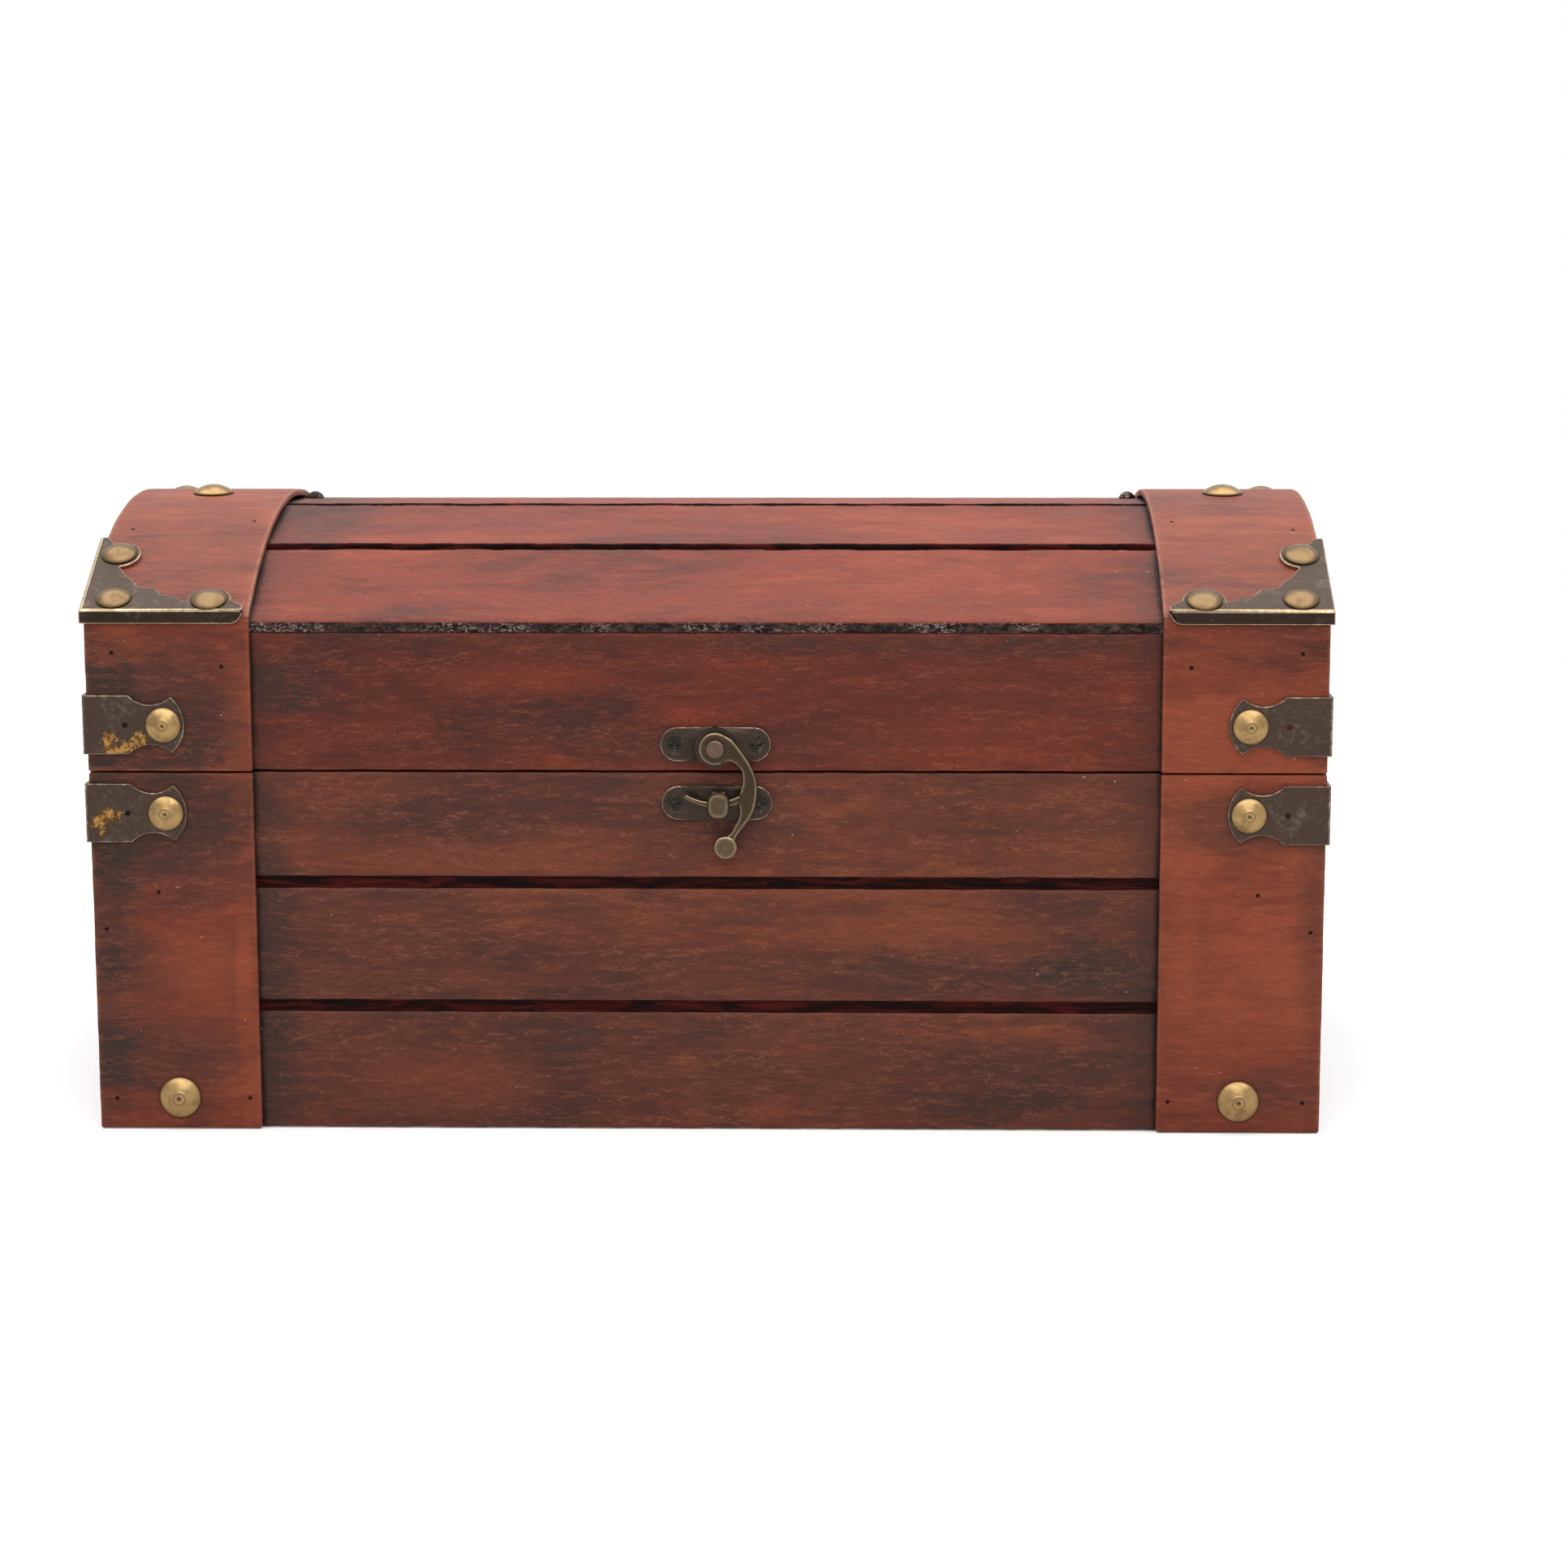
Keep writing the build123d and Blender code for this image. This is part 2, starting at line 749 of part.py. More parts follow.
with BuildPart() as bracket:
    with BuildSketch(Plane.YZ.offset(-half_length - sheet_thick)):
        with BuildLine():
            Polyline(
                (-half_depth, flange_bottom),
                (-half_depth, fold_z),
                slope_point(bracket_slope_arm, 0),
                slope_point(bracket_slope_arm, -sheet_thick),
                (fold_outer_y, outer_fold_z),
                (fold_outer_y, flange_bottom),
                close=True,
            )
        profile_face = make_face()
        outer_fold = profile_face.vertices().group_by(Axis.Y)[0].sort_by(Axis.Z)[-1]
        fillet(outer_fold, bracket_bend)
    extrude(amount=bracket_long_arm + sheet_thick)
    round_x = -half_length + bracket_long_arm - bracket_flange_round
    with BuildSketch(front_plane(round_x, flange_bottom + bracket_flange_round, half_depth)):
        Rectangle(bracket_flange_round, bracket_flange_round, align=(Align.MIN, Align.MAX))
        Circle(bracket_flange_round, mode=Mode.SUBTRACT)
    extrude(amount=overrun, mode=Mode.SUBTRACT)
    with BuildSketch(bracket_plane):
        with BuildLine():
            lace = [(u * bracket_long_arm, s * bracket_slope_arm) for u, s in lace_shares]
            Polyline(
                (-overrun, -overrun),
                (bracket_long_arm, -overrun),
                *lace,
                (-overrun, bracket_slope_arm),
                close=True,
            )
        make_face()
        for lobe_u, lobe_s in bracket_lobe_shares:
            with Locations((lobe_u * bracket_long_arm, lobe_s * bracket_slope_arm)):
                Circle(bracket_lobe_radius)
    extrude(amount=overrun, both=True, mode=Mode.INTERSECT)
    with BuildSketch(Plane.YZ.offset(-half_length)):
        with BuildLine():
            flange_depth = bracket_flange - sheet_thick
            Polyline(
                (fold_outer_y, flange_bottom),
                (-half_depth, flange_bottom),
                slope_point(sheet_thick, flange_depth),
                slope_point(bracket_slope_arm - bracket_side_taper, flange_depth),
                slope_point(bracket_slope_arm, 0),
                slope_point(bracket_slope_arm, -sheet_thick),
                (fold_outer_y, outer_fold_z),
                close=True,
            )
        side_face = make_face()
        side_fold = side_face.vertices().group_by(Axis.Y)[0].sort_by(Axis.Z)[-1]
        fillet(side_fold, bracket_bend)
    extrude(amount=-sheet_thick)
    drill_nails(bracket_seats, bracket_nail_length)

for corner in corners:
    mirrored_bracket = at_corner(bracket.part, corner)
    with BuildPart() as corner_bracket:
        add(mirrored_bracket)
    write_piece(corner_bracket, f"corner_bracket_{corner}")

# Domed nails, pins and brads


def nail_part(head_radius, dome, length):
    """Domed nail along -Z: pointed shank, low rim, round dome with a dimple in the middle."""
    dome_height = dome - nail_rim
    dome_radius = (head_radius**2 + dome_height**2) / (2 * dome_height)
    dome_centre = dome - dome_radius

    def dome_at(radius):
        return radius, dome_centre + math.sqrt(dome_radius**2 - radius**2)

    with BuildPart() as nail:
        with BuildSketch(Plane.XZ):
            with BuildLine():
                Polyline(
                    (0, dome - nail_dimple_depth),
                    (0, -length),
                    (nail_shank_radius, (nail_point_share - 1) * length),
                    (nail_shank_radius, 0),
                    (head_radius, 0),
                    (head_radius, nail_rim),
                )
                ThreePointArc((head_radius, nail_rim), dome_at(head_radius / 2), dome_at(nail_dimple_radius))
                Line(dome_at(nail_dimple_radius), (0, dome - nail_dimple_depth))
            make_face()
        revolve(axis=Axis.Z)
    return nail.part


def nail_group(name, groups):
    """One node of separate nails; groups hold the seats and the head and shank sizes."""
    with BuildPart() as nails:
        for seats, head_radius, dome, length in groups:
            nail = nail_part(head_radius, dome, length)
            with Locations(*seats):
                add(nail)
    write_piece(nails, name)


small_nail = (small_nail_radius, small_nail_dome)
large_nail = (large_nail_radius, large_nail_dome)
nail_group("body_strap_nails", [(body_strap_seats, *small_nail, strap_nail_length)])
nail_group("lid_strap_nails", [(lid_strap_seats, *small_nail, strap_nail_length)])
nail_group("bracket_nails", [(bracket_seats, *small_nail, bracket_nail_length)])
nail_group("body_band_nails", [(body_band_seats, *large_nail, band_nail_length)])
apex_group = (apex_seats, *large_nail, apex_nail_length)
rear_group = (rear_seats, *small_nail, bracket_nail_length)
nail_group("arch_band_nails", [apex_group, rear_group])
nail_group("top_slat_pins", [(slat_pin_seats, slat_pin_radius, slat_pin_dome, slat_pin_length)])

for name, seats in (("body_brads", body_brad_seats), ("lid_brads", lid_brad_seats)):
    with BuildPart() as brads:
        with Locations(*sunk(seats, brad_sink)):
            Cylinder(brad_radius, brad_length, align=(Align.CENTER, Align.CENTER, Align.MAX))
    write_piece(brads, name)

# Screws


def screw_part():
    """Countersunk screw along -Z with a crossed slot, its head flush with the origin."""
    with BuildPart() as screw:
        with BuildSketch(Plane.XZ):
            with BuildLine():
                Polyline(
                    (0, 0),
                    (screw_head_radius, 0),
                    (screw_shank_radius, -screw_head_depth),
                    (screw_shank_radius, (screw_point_share - 1) * screw_length),
                    (0, -screw_length),
                    close=True,
                )
            make_face()
        revolve(axis=Axis.Z)
        with BuildSketch(Plane.XY):
            Rectangle(screw_cross_length, screw_cross_width)
            Rectangle(screw_cross_width, screw_cross_length)
        extrude(amount=-screw_cross_depth, mode=Mode.SUBTRACT)
    return screw.part


def countersinks(seats):
    """Cone and hole in a plate for each screw, wider than the screw by its clearance."""
    with Locations(*seats):
        CounterSinkHole(
            radius=screw_shank_radius + screw_clear,
            counter_sink_radius=screw_head_radius + screw_clear,
            depth=overrun,
            counter_sink_angle=2 * math.degrees(
                math.atan((screw_head_radius - screw_shank_radius) / screw_head_depth)
            ),
        )


for name, seats in (
    ("latch_plate_screws", latch_screw_seats),
    ("keeper_screws", keeper_screw_seats),
    ("hinge_body_screws", hinge_body_screw_seats),
    ("hinge_lid_screws", hinge_lid_screw_seats),
):
    screw = screw_part()
    with BuildPart() as screws:
        with Locations(*seats):
            add(screw)
    write_piece(screws, name)

# Latch: plate and rivet on the lid, keeper on the body, arm between them

arm_back = plank_face + plate_thick + boss_height + latch_play
arm_front = arm_back + arm_thick

with BuildPart() as latch_plate:
    with BuildSketch(front_plane(latch_plate_x, latch_plate_z, plank_face)):
        SlotOverall(plate_length, plate_height)
    extrude(amount=plate_thick)
    with BuildSketch(pivot_seat):
        Circle(boss_radius)
    extrude(amount=plate_thick + boss_height)
    countersinks(latch_screw_seats)
    with Locations(pivot_seat):
        Cylinder(rivet_radius + rivet_clear, overrun, mode=Mode.SUBTRACT)
write_piece(latch_plate, "latch_plate")

with BuildPart() as latch_rivet:
    with BuildSketch(pivot_seat):
        Circle(rivet_radius)
    extrude(amount=arm_front + latch_play - plank_face)
    with BuildSketch(pivot_seat.offset(arm_front + latch_play - plank_face)):
        Circle(rivet_head_radius)
    extrude(amount=rivet_head_height)
    head_rim = latch_rivet.edges().filter_by(GeomType.CIRCLE).sort_by(Axis.Y)[0]
    fillet(head_rim, rivet_head_height / 2)
write_piece(latch_rivet, "latch_rivet")

neck_bottom = keeper_z + neck_rise
neck_top = neck_bottom + neck_height
neck_x = latch_offset + neck_shift
hook_back = arm_front + 2 * latch_play
with BuildPart() as keeper:
    with BuildSketch(front_plane(keeper_offset, keeper_z, plank_face)):
        SlotOverall(keeper_length, keeper_height)
    extrude(amount=plate_thick)
    with BuildSketch(front_plane(neck_x, keeper_z, plank_face)):
        Circle(keeper_boss_radius)
    extrude(amount=plate_thick + keeper_boss_height)
    with BuildSketch(front_plane(neck_x, (neck_bottom + neck_top) / 2, plank_face)):
        Rectangle(neck_width, neck_height)
    extrude(amount=hook_back - plank_face)
    with BuildSketch(front_plane(neck_x, neck_top - hook_height / 2, hook_back)):
        RectangleRounded(hook_width, hook_height, hook_round)
    extrude(amount=hook_thick)
    hook_rim = keeper.faces().sort_by(Axis.Y)[0].edges()
    fillet(hook_rim, hook_edge)
    countersinks(keeper_screw_seats)
write_piece(keeper, "keeper")

# The claw is an arc about the pivot that just clears the keeper's neck
claw_inner = math.hypot(neck_shift + neck_width / 2, pivot_height - neck_bottom) + claw_clear
claw_middle = claw_inner + claw_root_width / 2


def claw_point(angle_degrees, radius):
    """Point at an angle from straight below the pivot, positive to the right."""
    angle = math.radians(angle_degrees)
    return radius * math.sin(angle), -radius * math.cos(angle)


def arm_edge(shares):
    """Edge points of the arm from their shares."""
    return [(x_share * arm_bow, z_share * arm_reach) for x_share, z_share in shares]


with BuildPart() as latch_arm:
    arm_plane = front_plane(latch_offset, pivot_height, arm_back)
    with BuildSketch(arm_plane):
        with BuildLine():
            outer_edge = arm_edge(arm_outer_shares)
            lower_edge = arm_edge(arm_lower_shares)
            inner_edge = arm_edge(arm_inner_shares)
            Spline(*outer_edge)
            Line(outer_edge[-1], lower_edge[0])
            Spline(*lower_edge)
            Line(lower_edge[-1], inner_edge[0])
            Spline(*inner_edge)
            Line(inner_edge[-1], outer_edge[0])
        make_face()
        Circle(arm_ring_radius)
        with Locations((arm_knob_shift, -arm_reach)):
            Circle(arm_knob_radius)
        with BuildLine():
            claw_mid_angle = (claw_root_angle + claw_tip_angle) / 2
            mid_half = (claw_root_width + claw_tip_width) / 4
            tip_half = claw_tip_width / 2
            root_inner = claw_point(claw_root_angle, claw_inner)
            root_outer = claw_point(claw_root_angle, claw_inner + claw_root_width)
            tip_inner = claw_point(claw_tip_angle, claw_middle - tip_half)
            tip_outer = claw_point(claw_tip_angle, claw_middle + tip_half)
            ThreePointArc(root_inner, claw_point(claw_mid_angle, claw_middle - mid_half), tip_inner)
            Line(tip_inner, tip_outer)
            ThreePointArc(tip_outer, claw_point(claw_mid_angle, claw_middle + mid_half), root_outer)
            Line(root_outer, root_inner)
        make_face()
    extrude(amount=arm_thick)
    with BuildSketch(arm_plane.offset(arm_thick)):
        with Locations((arm_knob_shift, -arm_reach)):
            Circle(arm_knob_radius - arm_knob_extra)
    extrude(amount=arm_knob_extra)
    with Locations(arm_plane):
        Cylinder(rivet_radius + rivet_clear, overrun, mode=Mode.SUBTRACT)
write_piece(latch_arm, "latch_arm")

# Hinges: leaves on the outside of the back, knuckles round one pin, a stop lip on the lid's leaf

hinge_axis_y = plank_face + hinge_standoff
knuckle_length = (hinge_width - 2 * knuckle_gap) / 3
leaf_clear = knuckle_radius + knuckle_room

# The stop lip comes this far past straight down before it meets the body's leaf
stop_reach = math.hypot(hinge_stop_length, hinge_stop_thick / 2)
stop_room = hinge_standoff - hinge_leaf_thick - hinge_stop_gap
stop_past_down = math.asin(stop_room / stop_reach) - math.atan(hinge_stop_thick / 2 / hinge_stop_length)
stop_turn = math.pi - math.radians(lid_opening) + stop_past_down


def knuckle_plane(x):
    """Plane across the hinge axis at one place along the chest."""
    return Plane(origin=(x, hinge_axis_y, seam_height), x_dir=(0, 1, 0), z_dir=(1, 0, 0))


def leaf_plate(x, up):
    """Flat leaf on the back, from just past the seam away from it."""
    leaf_height = hinge_leaf_height - hinge_leaf_gap
    leaf_middle = seam_height + up * (hinge_leaf_gap + leaf_height / 2)
    with BuildSketch(back_plane(x, leaf_middle, plank_face)) as leaf:
        Rectangle(hinge_width, leaf_height)
    extrude(leaf.sketch, amount=hinge_leaf_thick)


def leaf_notch(x, up, length):
    """Room in a leaf for the other leaf's knuckle."""
    with BuildSketch(back_plane(x, seam_height + up * leaf_clear / 2, plank_face - overrun)) as notch:
        Rectangle(length + 2 * knuckle_gap, leaf_clear)
    extrude(notch.sketch, amount=2 * overrun, mode=Mode.SUBTRACT)


def knuckle(x, length):
    """Round knuckle centred on the axis."""
    with BuildSketch(knuckle_plane(x - length / 2)) as ring:
        Circle(knuckle_radius)
    extrude(ring.sketch, amount=length)


def pin_bore(x):
    """Bore of the knuckles for the pin."""
    with BuildSketch(knuckle_plane(x - hinge_width)) as bore:
        Circle(hinge_pin_radius + hinge_pin_clear)
    extrude(bore.sketch, amount=2 * hinge_width, mode=Mode.SUBTRACT)


for side, side_sign in zip(sides, (-1, 1)):
    hinge_x = side_sign * hinge_place
    outer_knuckle = knuckle_length + knuckle_gap
    with BuildPart() as body_leaf:
        leaf_plate(hinge_x, -1)
        leaf_notch(hinge_x, -1, knuckle_length)
        knuckle(hinge_x - outer_knuckle, knuckle_length)
        knuckle(hinge_x + outer_knuckle, knuckle_length)
        pin_bore(hinge_x)
        countersinks(hinge_body_screw_seats)
    write_piece(body_leaf, f"hinge_{side}_body_leaf")

    with BuildPart() as lid_leaf:
        leaf_plate(hinge_x, 1)
        leaf_notch(hinge_x - outer_knuckle, 1, knuckle_length)
        leaf_notch(hinge_x + outer_knuckle, 1, knuckle_length)
        knuckle(hinge_x, knuckle_length)
        stop_out = (0, math.sin(stop_turn), math.cos(stop_turn))
        stop_plane = Plane(origin=(hinge_x, hinge_axis_y, seam_height), x_dir=(1, 0, 0), z_dir=stop_out)
        with BuildSketch(stop_plane):
            Rectangle(knuckle_length, hinge_stop_thick)
        extrude(amount=hinge_stop_length)
        pin_bore(hinge_x)
        countersinks(hinge_lid_screw_seats)
    write_piece(lid_leaf, f"hinge_{side}_lid_leaf")

    with BuildPart() as hinge_pin:
        with BuildSketch(knuckle_plane(hinge_x - hinge_width / 2)):
            Circle(hinge_pin_radius)
        extrude(amount=hinge_width)
        with BuildSketch(knuckle_plane(hinge_x + hinge_width / 2)):
            Circle(knuckle_radius)
        extrude(amount=hinge_pin_head)
    write_piece(hinge_pin, f"hinge_{side}_pin")
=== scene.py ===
# %% [markdown]
# # A small treasure chest, dressed for its portrait
#
# The chest is a wooden box about as long as a school ruler, with a lid bent over five flat slats.
# Its wood is stained a dark red, its corners are bound with aged bronze, and a swing latch keeps it
# shut. The packed model gives every piece at its real size and place. This lesson keeps those places
# and makes the surfaces: softened board edges, spun nail heads, grain, patina and light. All lengths
# are metres, with X along the chest, Y from front to back and Z up.

# %% Load the packed model
import json
import math

import bmesh
import bpy
import numpy as np
from mathutils import Matrix, Vector

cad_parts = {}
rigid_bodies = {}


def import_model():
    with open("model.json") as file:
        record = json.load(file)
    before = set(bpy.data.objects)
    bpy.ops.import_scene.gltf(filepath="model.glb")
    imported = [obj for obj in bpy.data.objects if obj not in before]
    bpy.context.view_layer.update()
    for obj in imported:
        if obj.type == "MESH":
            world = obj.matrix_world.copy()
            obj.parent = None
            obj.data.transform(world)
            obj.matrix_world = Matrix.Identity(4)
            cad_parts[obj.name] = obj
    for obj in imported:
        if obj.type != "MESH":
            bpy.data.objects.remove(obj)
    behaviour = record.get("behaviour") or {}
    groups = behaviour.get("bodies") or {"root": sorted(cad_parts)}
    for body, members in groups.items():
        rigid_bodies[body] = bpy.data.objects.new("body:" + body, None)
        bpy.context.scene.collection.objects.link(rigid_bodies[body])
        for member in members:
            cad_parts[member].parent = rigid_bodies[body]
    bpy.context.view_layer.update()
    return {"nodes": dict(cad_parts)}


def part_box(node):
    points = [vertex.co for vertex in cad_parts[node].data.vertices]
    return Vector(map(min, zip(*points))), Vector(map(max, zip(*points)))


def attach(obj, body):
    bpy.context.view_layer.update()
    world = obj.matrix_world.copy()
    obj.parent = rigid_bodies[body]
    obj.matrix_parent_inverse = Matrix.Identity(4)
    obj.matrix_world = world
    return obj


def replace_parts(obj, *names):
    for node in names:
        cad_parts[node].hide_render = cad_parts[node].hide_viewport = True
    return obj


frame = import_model()
nodes = frame["nodes"]

# %% [markdown]
# ## The sizes that the boards share
#
# A joiner marks a few lines on a rod and works everything else from them. The boxes of the packed
# pieces are such a rod: they give the faces of the planks, the seam between body and lid, and the
# shoulder where the lid starts to bend. The arch follows from its chord and its rise.

# %% Lines taken from the packed pieces
panel_low, panel_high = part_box("body_front_panel")
arch_low, arch_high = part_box("lid_band_arch_left")

half_length = panel_high.x
half_depth = arch_high.y
plank_face = -panel_low.y
panel_inside = -panel_high.y
body_top = panel_high.z
lid_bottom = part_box("lid_front_panel")[0].z
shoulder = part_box("lid_band_front_left")[1].z
chest_top = arch_high.z
band_width = arch_high.x - arch_low.x
band_thick = half_depth - plank_face
end_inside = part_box("body_end_right")[0].x

arch_rise = chest_top - shoulder
arch_radius = (half_depth**2 + arch_rise**2) / (2 * arch_rise)
arch_centre = chest_top - arch_radius
print(f"arch radius {arch_radius:.4f} m, seam from {body_top:.4f} to {lid_bottom:.4f} m")

# %% [markdown]
# ## The camera
#
# The portrait was taken from a little above and a little to the right, with a long lens. The place
# and the turns below were found by matching the corners of the box, so the camera has no shift.

# %% Camera
camera_place = Vector((0.0404, -0.9644, 0.2488))
camera_tilt = math.radians(10.32)
camera_yaw = math.radians(-1.38)
camera_roll = math.radians(-0.12)
camera_lens = 85.84

forward = Vector((
    math.sin(camera_yaw) * math.cos(camera_tilt),
    math.cos(camera_yaw) * math.cos(camera_tilt),
    -math.sin(camera_tilt),
))
level_right = Vector((math.cos(camera_yaw), -math.sin(camera_yaw), 0))
level_up = level_right.cross(forward)
right = level_right * math.cos(camera_roll) + level_up * math.sin(camera_roll)
up = level_up * math.cos(camera_roll) - level_right * math.sin(camera_roll)

camera_data = bpy.data.cameras.new("portrait_camera")
camera_data.lens = camera_lens
camera_data.sensor_width = 36
camera = bpy.data.objects.new("portrait_camera", camera_data)
turned = Matrix((right, up, -forward)).transposed().to_4x4()
camera.matrix_world = Matrix.Translation(camera_place) @ turned
bpy.context.scene.collection.objects.link(camera)
bpy.context.scene.camera = camera
print("camera stands", round(-camera_place.y, 3), "m in front of the middle of the chest")

# %% [markdown]
# ## Adding nodes without clutter
#
# A finish is a small network of nodes. It could be wired with one line for every link, but then the
# recipe drowns in wiring. So a small class holds the network, and each of its methods adds a node,
# sets its options and joins or fills its inputs. The recipes below read as one line for each step.

# %% A recipe of nodes
class Recipe:
    """A network of nodes in the making, for a material or for the background."""

    def __init__(self, owner):
        owner.use_nodes = True
        owner.node_tree.nodes.clear()
        self.owner, self.tree = owner, owner.node_tree

    def add(self, kind, inputs, **options):
        """Add a node; an input gets a number, a colour, or a link if it is a socket. Gives its outputs."""
        made = self.tree.nodes.new("ShaderNode" + kind)
        for option, value in options.items():
            setattr(made, option, value)
        for socket, value in inputs.items():
            if isinstance(value, bpy.types.NodeSocket):
                self.tree.links.new(value, made.inputs[socket])
            else:
                is_colour = made.inputs[socket].type == "RGBA"
                made.inputs[socket].default_value = (*value, 1) if is_colour else value
        return made.outputs

    def calculate(self, operation, *values):
        """One sum on one to three values."""
        return self.add("Math", dict(enumerate(values)), operation=operation)[0]

    def times(self, first, second):
        """First x second."""
        return self.calculate("MULTIPLY", first, second)

    def times_plus(self, first, second, third):
        """First x second + third."""
        return self.calculate("MULTIPLY_ADD", first, second, third)

    def most(self, first, second):
        """The larger of two values."""
        return self.calculate("MAXIMUM", first, second)

    def spread(self, value, low, high, to_low=0.0, to_high=1.0):
        """Bring a value from one range to another, with soft ends."""
        inputs = {"Value": value, "From Min": low, "From Max": high, "To Min": to_low, "To Max": to_high}
        return self.add("MapRange", inputs, interpolation_type="SMOOTHSTEP")[0]

    def blend(self, share, first, second):
        """Mix two colours by a share from 0 to 1."""
        return self.add("Mix", {0: share, 6: first, 7: second}, data_type="RGBA")[2]

    def noise(self, place, scale, detail, roughness, distortion=0.0):
        """Smooth noise at a place; one over the scale is the size of its lumps in metres."""
        inputs = {"Vector": place, "Scale": scale, "Detail": detail, "Roughness": roughness}
        return self.add("TexNoise", {**inputs, "Distortion": distortion})[0]

    def place(self):
        """Where a point lies on the chest, in metres."""
        return self.add("TexCoord", {})["Object"]

    def stretched(self, stretch=(1, 1, 1), shift=(0, 0, 0)):
        """The place moved, and drawn out on each axis: at 0.2 the lumps are five times as long."""
        return self.add("Mapping", {"Vector": self.place(), "Scale": stretch, "Location": shift})[0]

    def along_grain(self, share, grain="x", shift=(0, 0, 0)):
        """The place drawn out along the grain of a board only."""
        return self.stretched([share if axis == grain else 1 for axis in "xyz"], shift)

    def attribute(self, name):
        """A number that the mesh carries at each point."""
        return self.add("Attribute", {}, attribute_name=name)["Fac"]

    def surface(self, base, rough, height, strength, distance, sheen=0.5, metallic=0.0):
        """Close the recipe with one principled shader over a bump of some height."""
        bump = self.add("Bump", {"Strength": strength, "Distance": distance, "Height": height})[0]
        inputs = {"Base Color": base, "Roughness": rough, "Specular IOR Level": sheen, "Metallic": metallic}
        self.add("OutputMaterial", {"Surface": self.add("BsdfPrincipled", {**inputs, "Normal": bump})[0]})
        return self.owner


print("a recipe has", len([name for name in vars(Recipe) if name[0] != "_"]), "kinds of step")

# %% [markdown]
# ## Stained wood
#
# The boards are thin, open-grained wood, brushed rough and wiped with a red stain. Seen close, the
# stain lies in cloudy patches as wide as a thumb, with short wavy fibres that run along the board and
# catch the light. A single stretched noise would look like smeared paint. So the recipe adds up four
# sizes of detail: clouds, streaks, flecks and fibres. A fibre is drawn where smooth noise crosses its
# middle value, which gives thin wavy lines that fork and join like flames. The wood's own sheen is
# weak, because the stain is matt, so the tones can stay deep.

# %% Threads, eggs of stain, and the fade beside the bands
def threads(mix, place, scale, width):
    """Thin wavy lines, 1 where smooth noise is at its middle value and 0 from `width` away."""
    value = mix.noise(place, scale, 2.0, 0.6, 0.35)
    off = mix.calculate("ABSOLUTE", mix.calculate("SUBTRACT", value, 0.5))
    return mix.spread(off, 0.0, width, 1, 0)


def band_soot_and_shadow(mix, smoke, strength):
    """Shares of darkening beside the bands: a soot-dark fade over the last centimetre, and a black line over
    the last millimetre, which is painted shadow where the band's edge stands over the plank. Both end a few
    millimetres under it."""
    x = mix.add("SeparateXYZ", {0: mix.place()})["X"]
    gap = mix.calculate("SUBTRACT", half_length - band_width, mix.calculate("ABSOLUTE", x))
    fade = mix.spread(mix.times_plus(smoke, 0.014, gap), 0.006, 0.018, strength, 0)
    line = mix.spread(mix.times_plus(smoke, 0.0030, gap), 0.0014, 0.0030, 0.92, 0)
    bare = mix.spread(gap, -0.006, -0.002, 0, 1)
    return mix.times(fade, bare), mix.times(line, bare)


def smudge_share(mix, smudges, smoke):
    """Share of the smudges: soft eggs frayed by the smoke. Each is a row of x, z, half width and half
    height in millimetres, and its strength. An egg's share falls off with |(x, z) - middle| / halves."""
    place = mix.place()
    total = 0.0
    for x, z, half_wide, half_high, strength in smudges:
        moved = mix.add("VectorMath", {0: place, 1: (0.001 * x, 0, 0.001 * z)}, operation="SUBTRACT")[0]
        ratio = (1000 / half_wide, 0, 1000 / half_high)
        scaled = mix.add("VectorMath", {0: moved, 1: ratio}, operation="MULTIPLY")[0]
        distance = mix.add("VectorMath", {0: scaled}, operation="LENGTH")["Value"]
        share = mix.spread(mix.times_plus(smoke, 0.9, distance), 0.75, 1.55, strength, 0)
        total = mix.calculate("ADD", total, share)
    return mix.calculate("MINIMUM", total, 1.0)


print(f"the bands start {1000 * (half_length - band_width):.1f} mm from the middle")

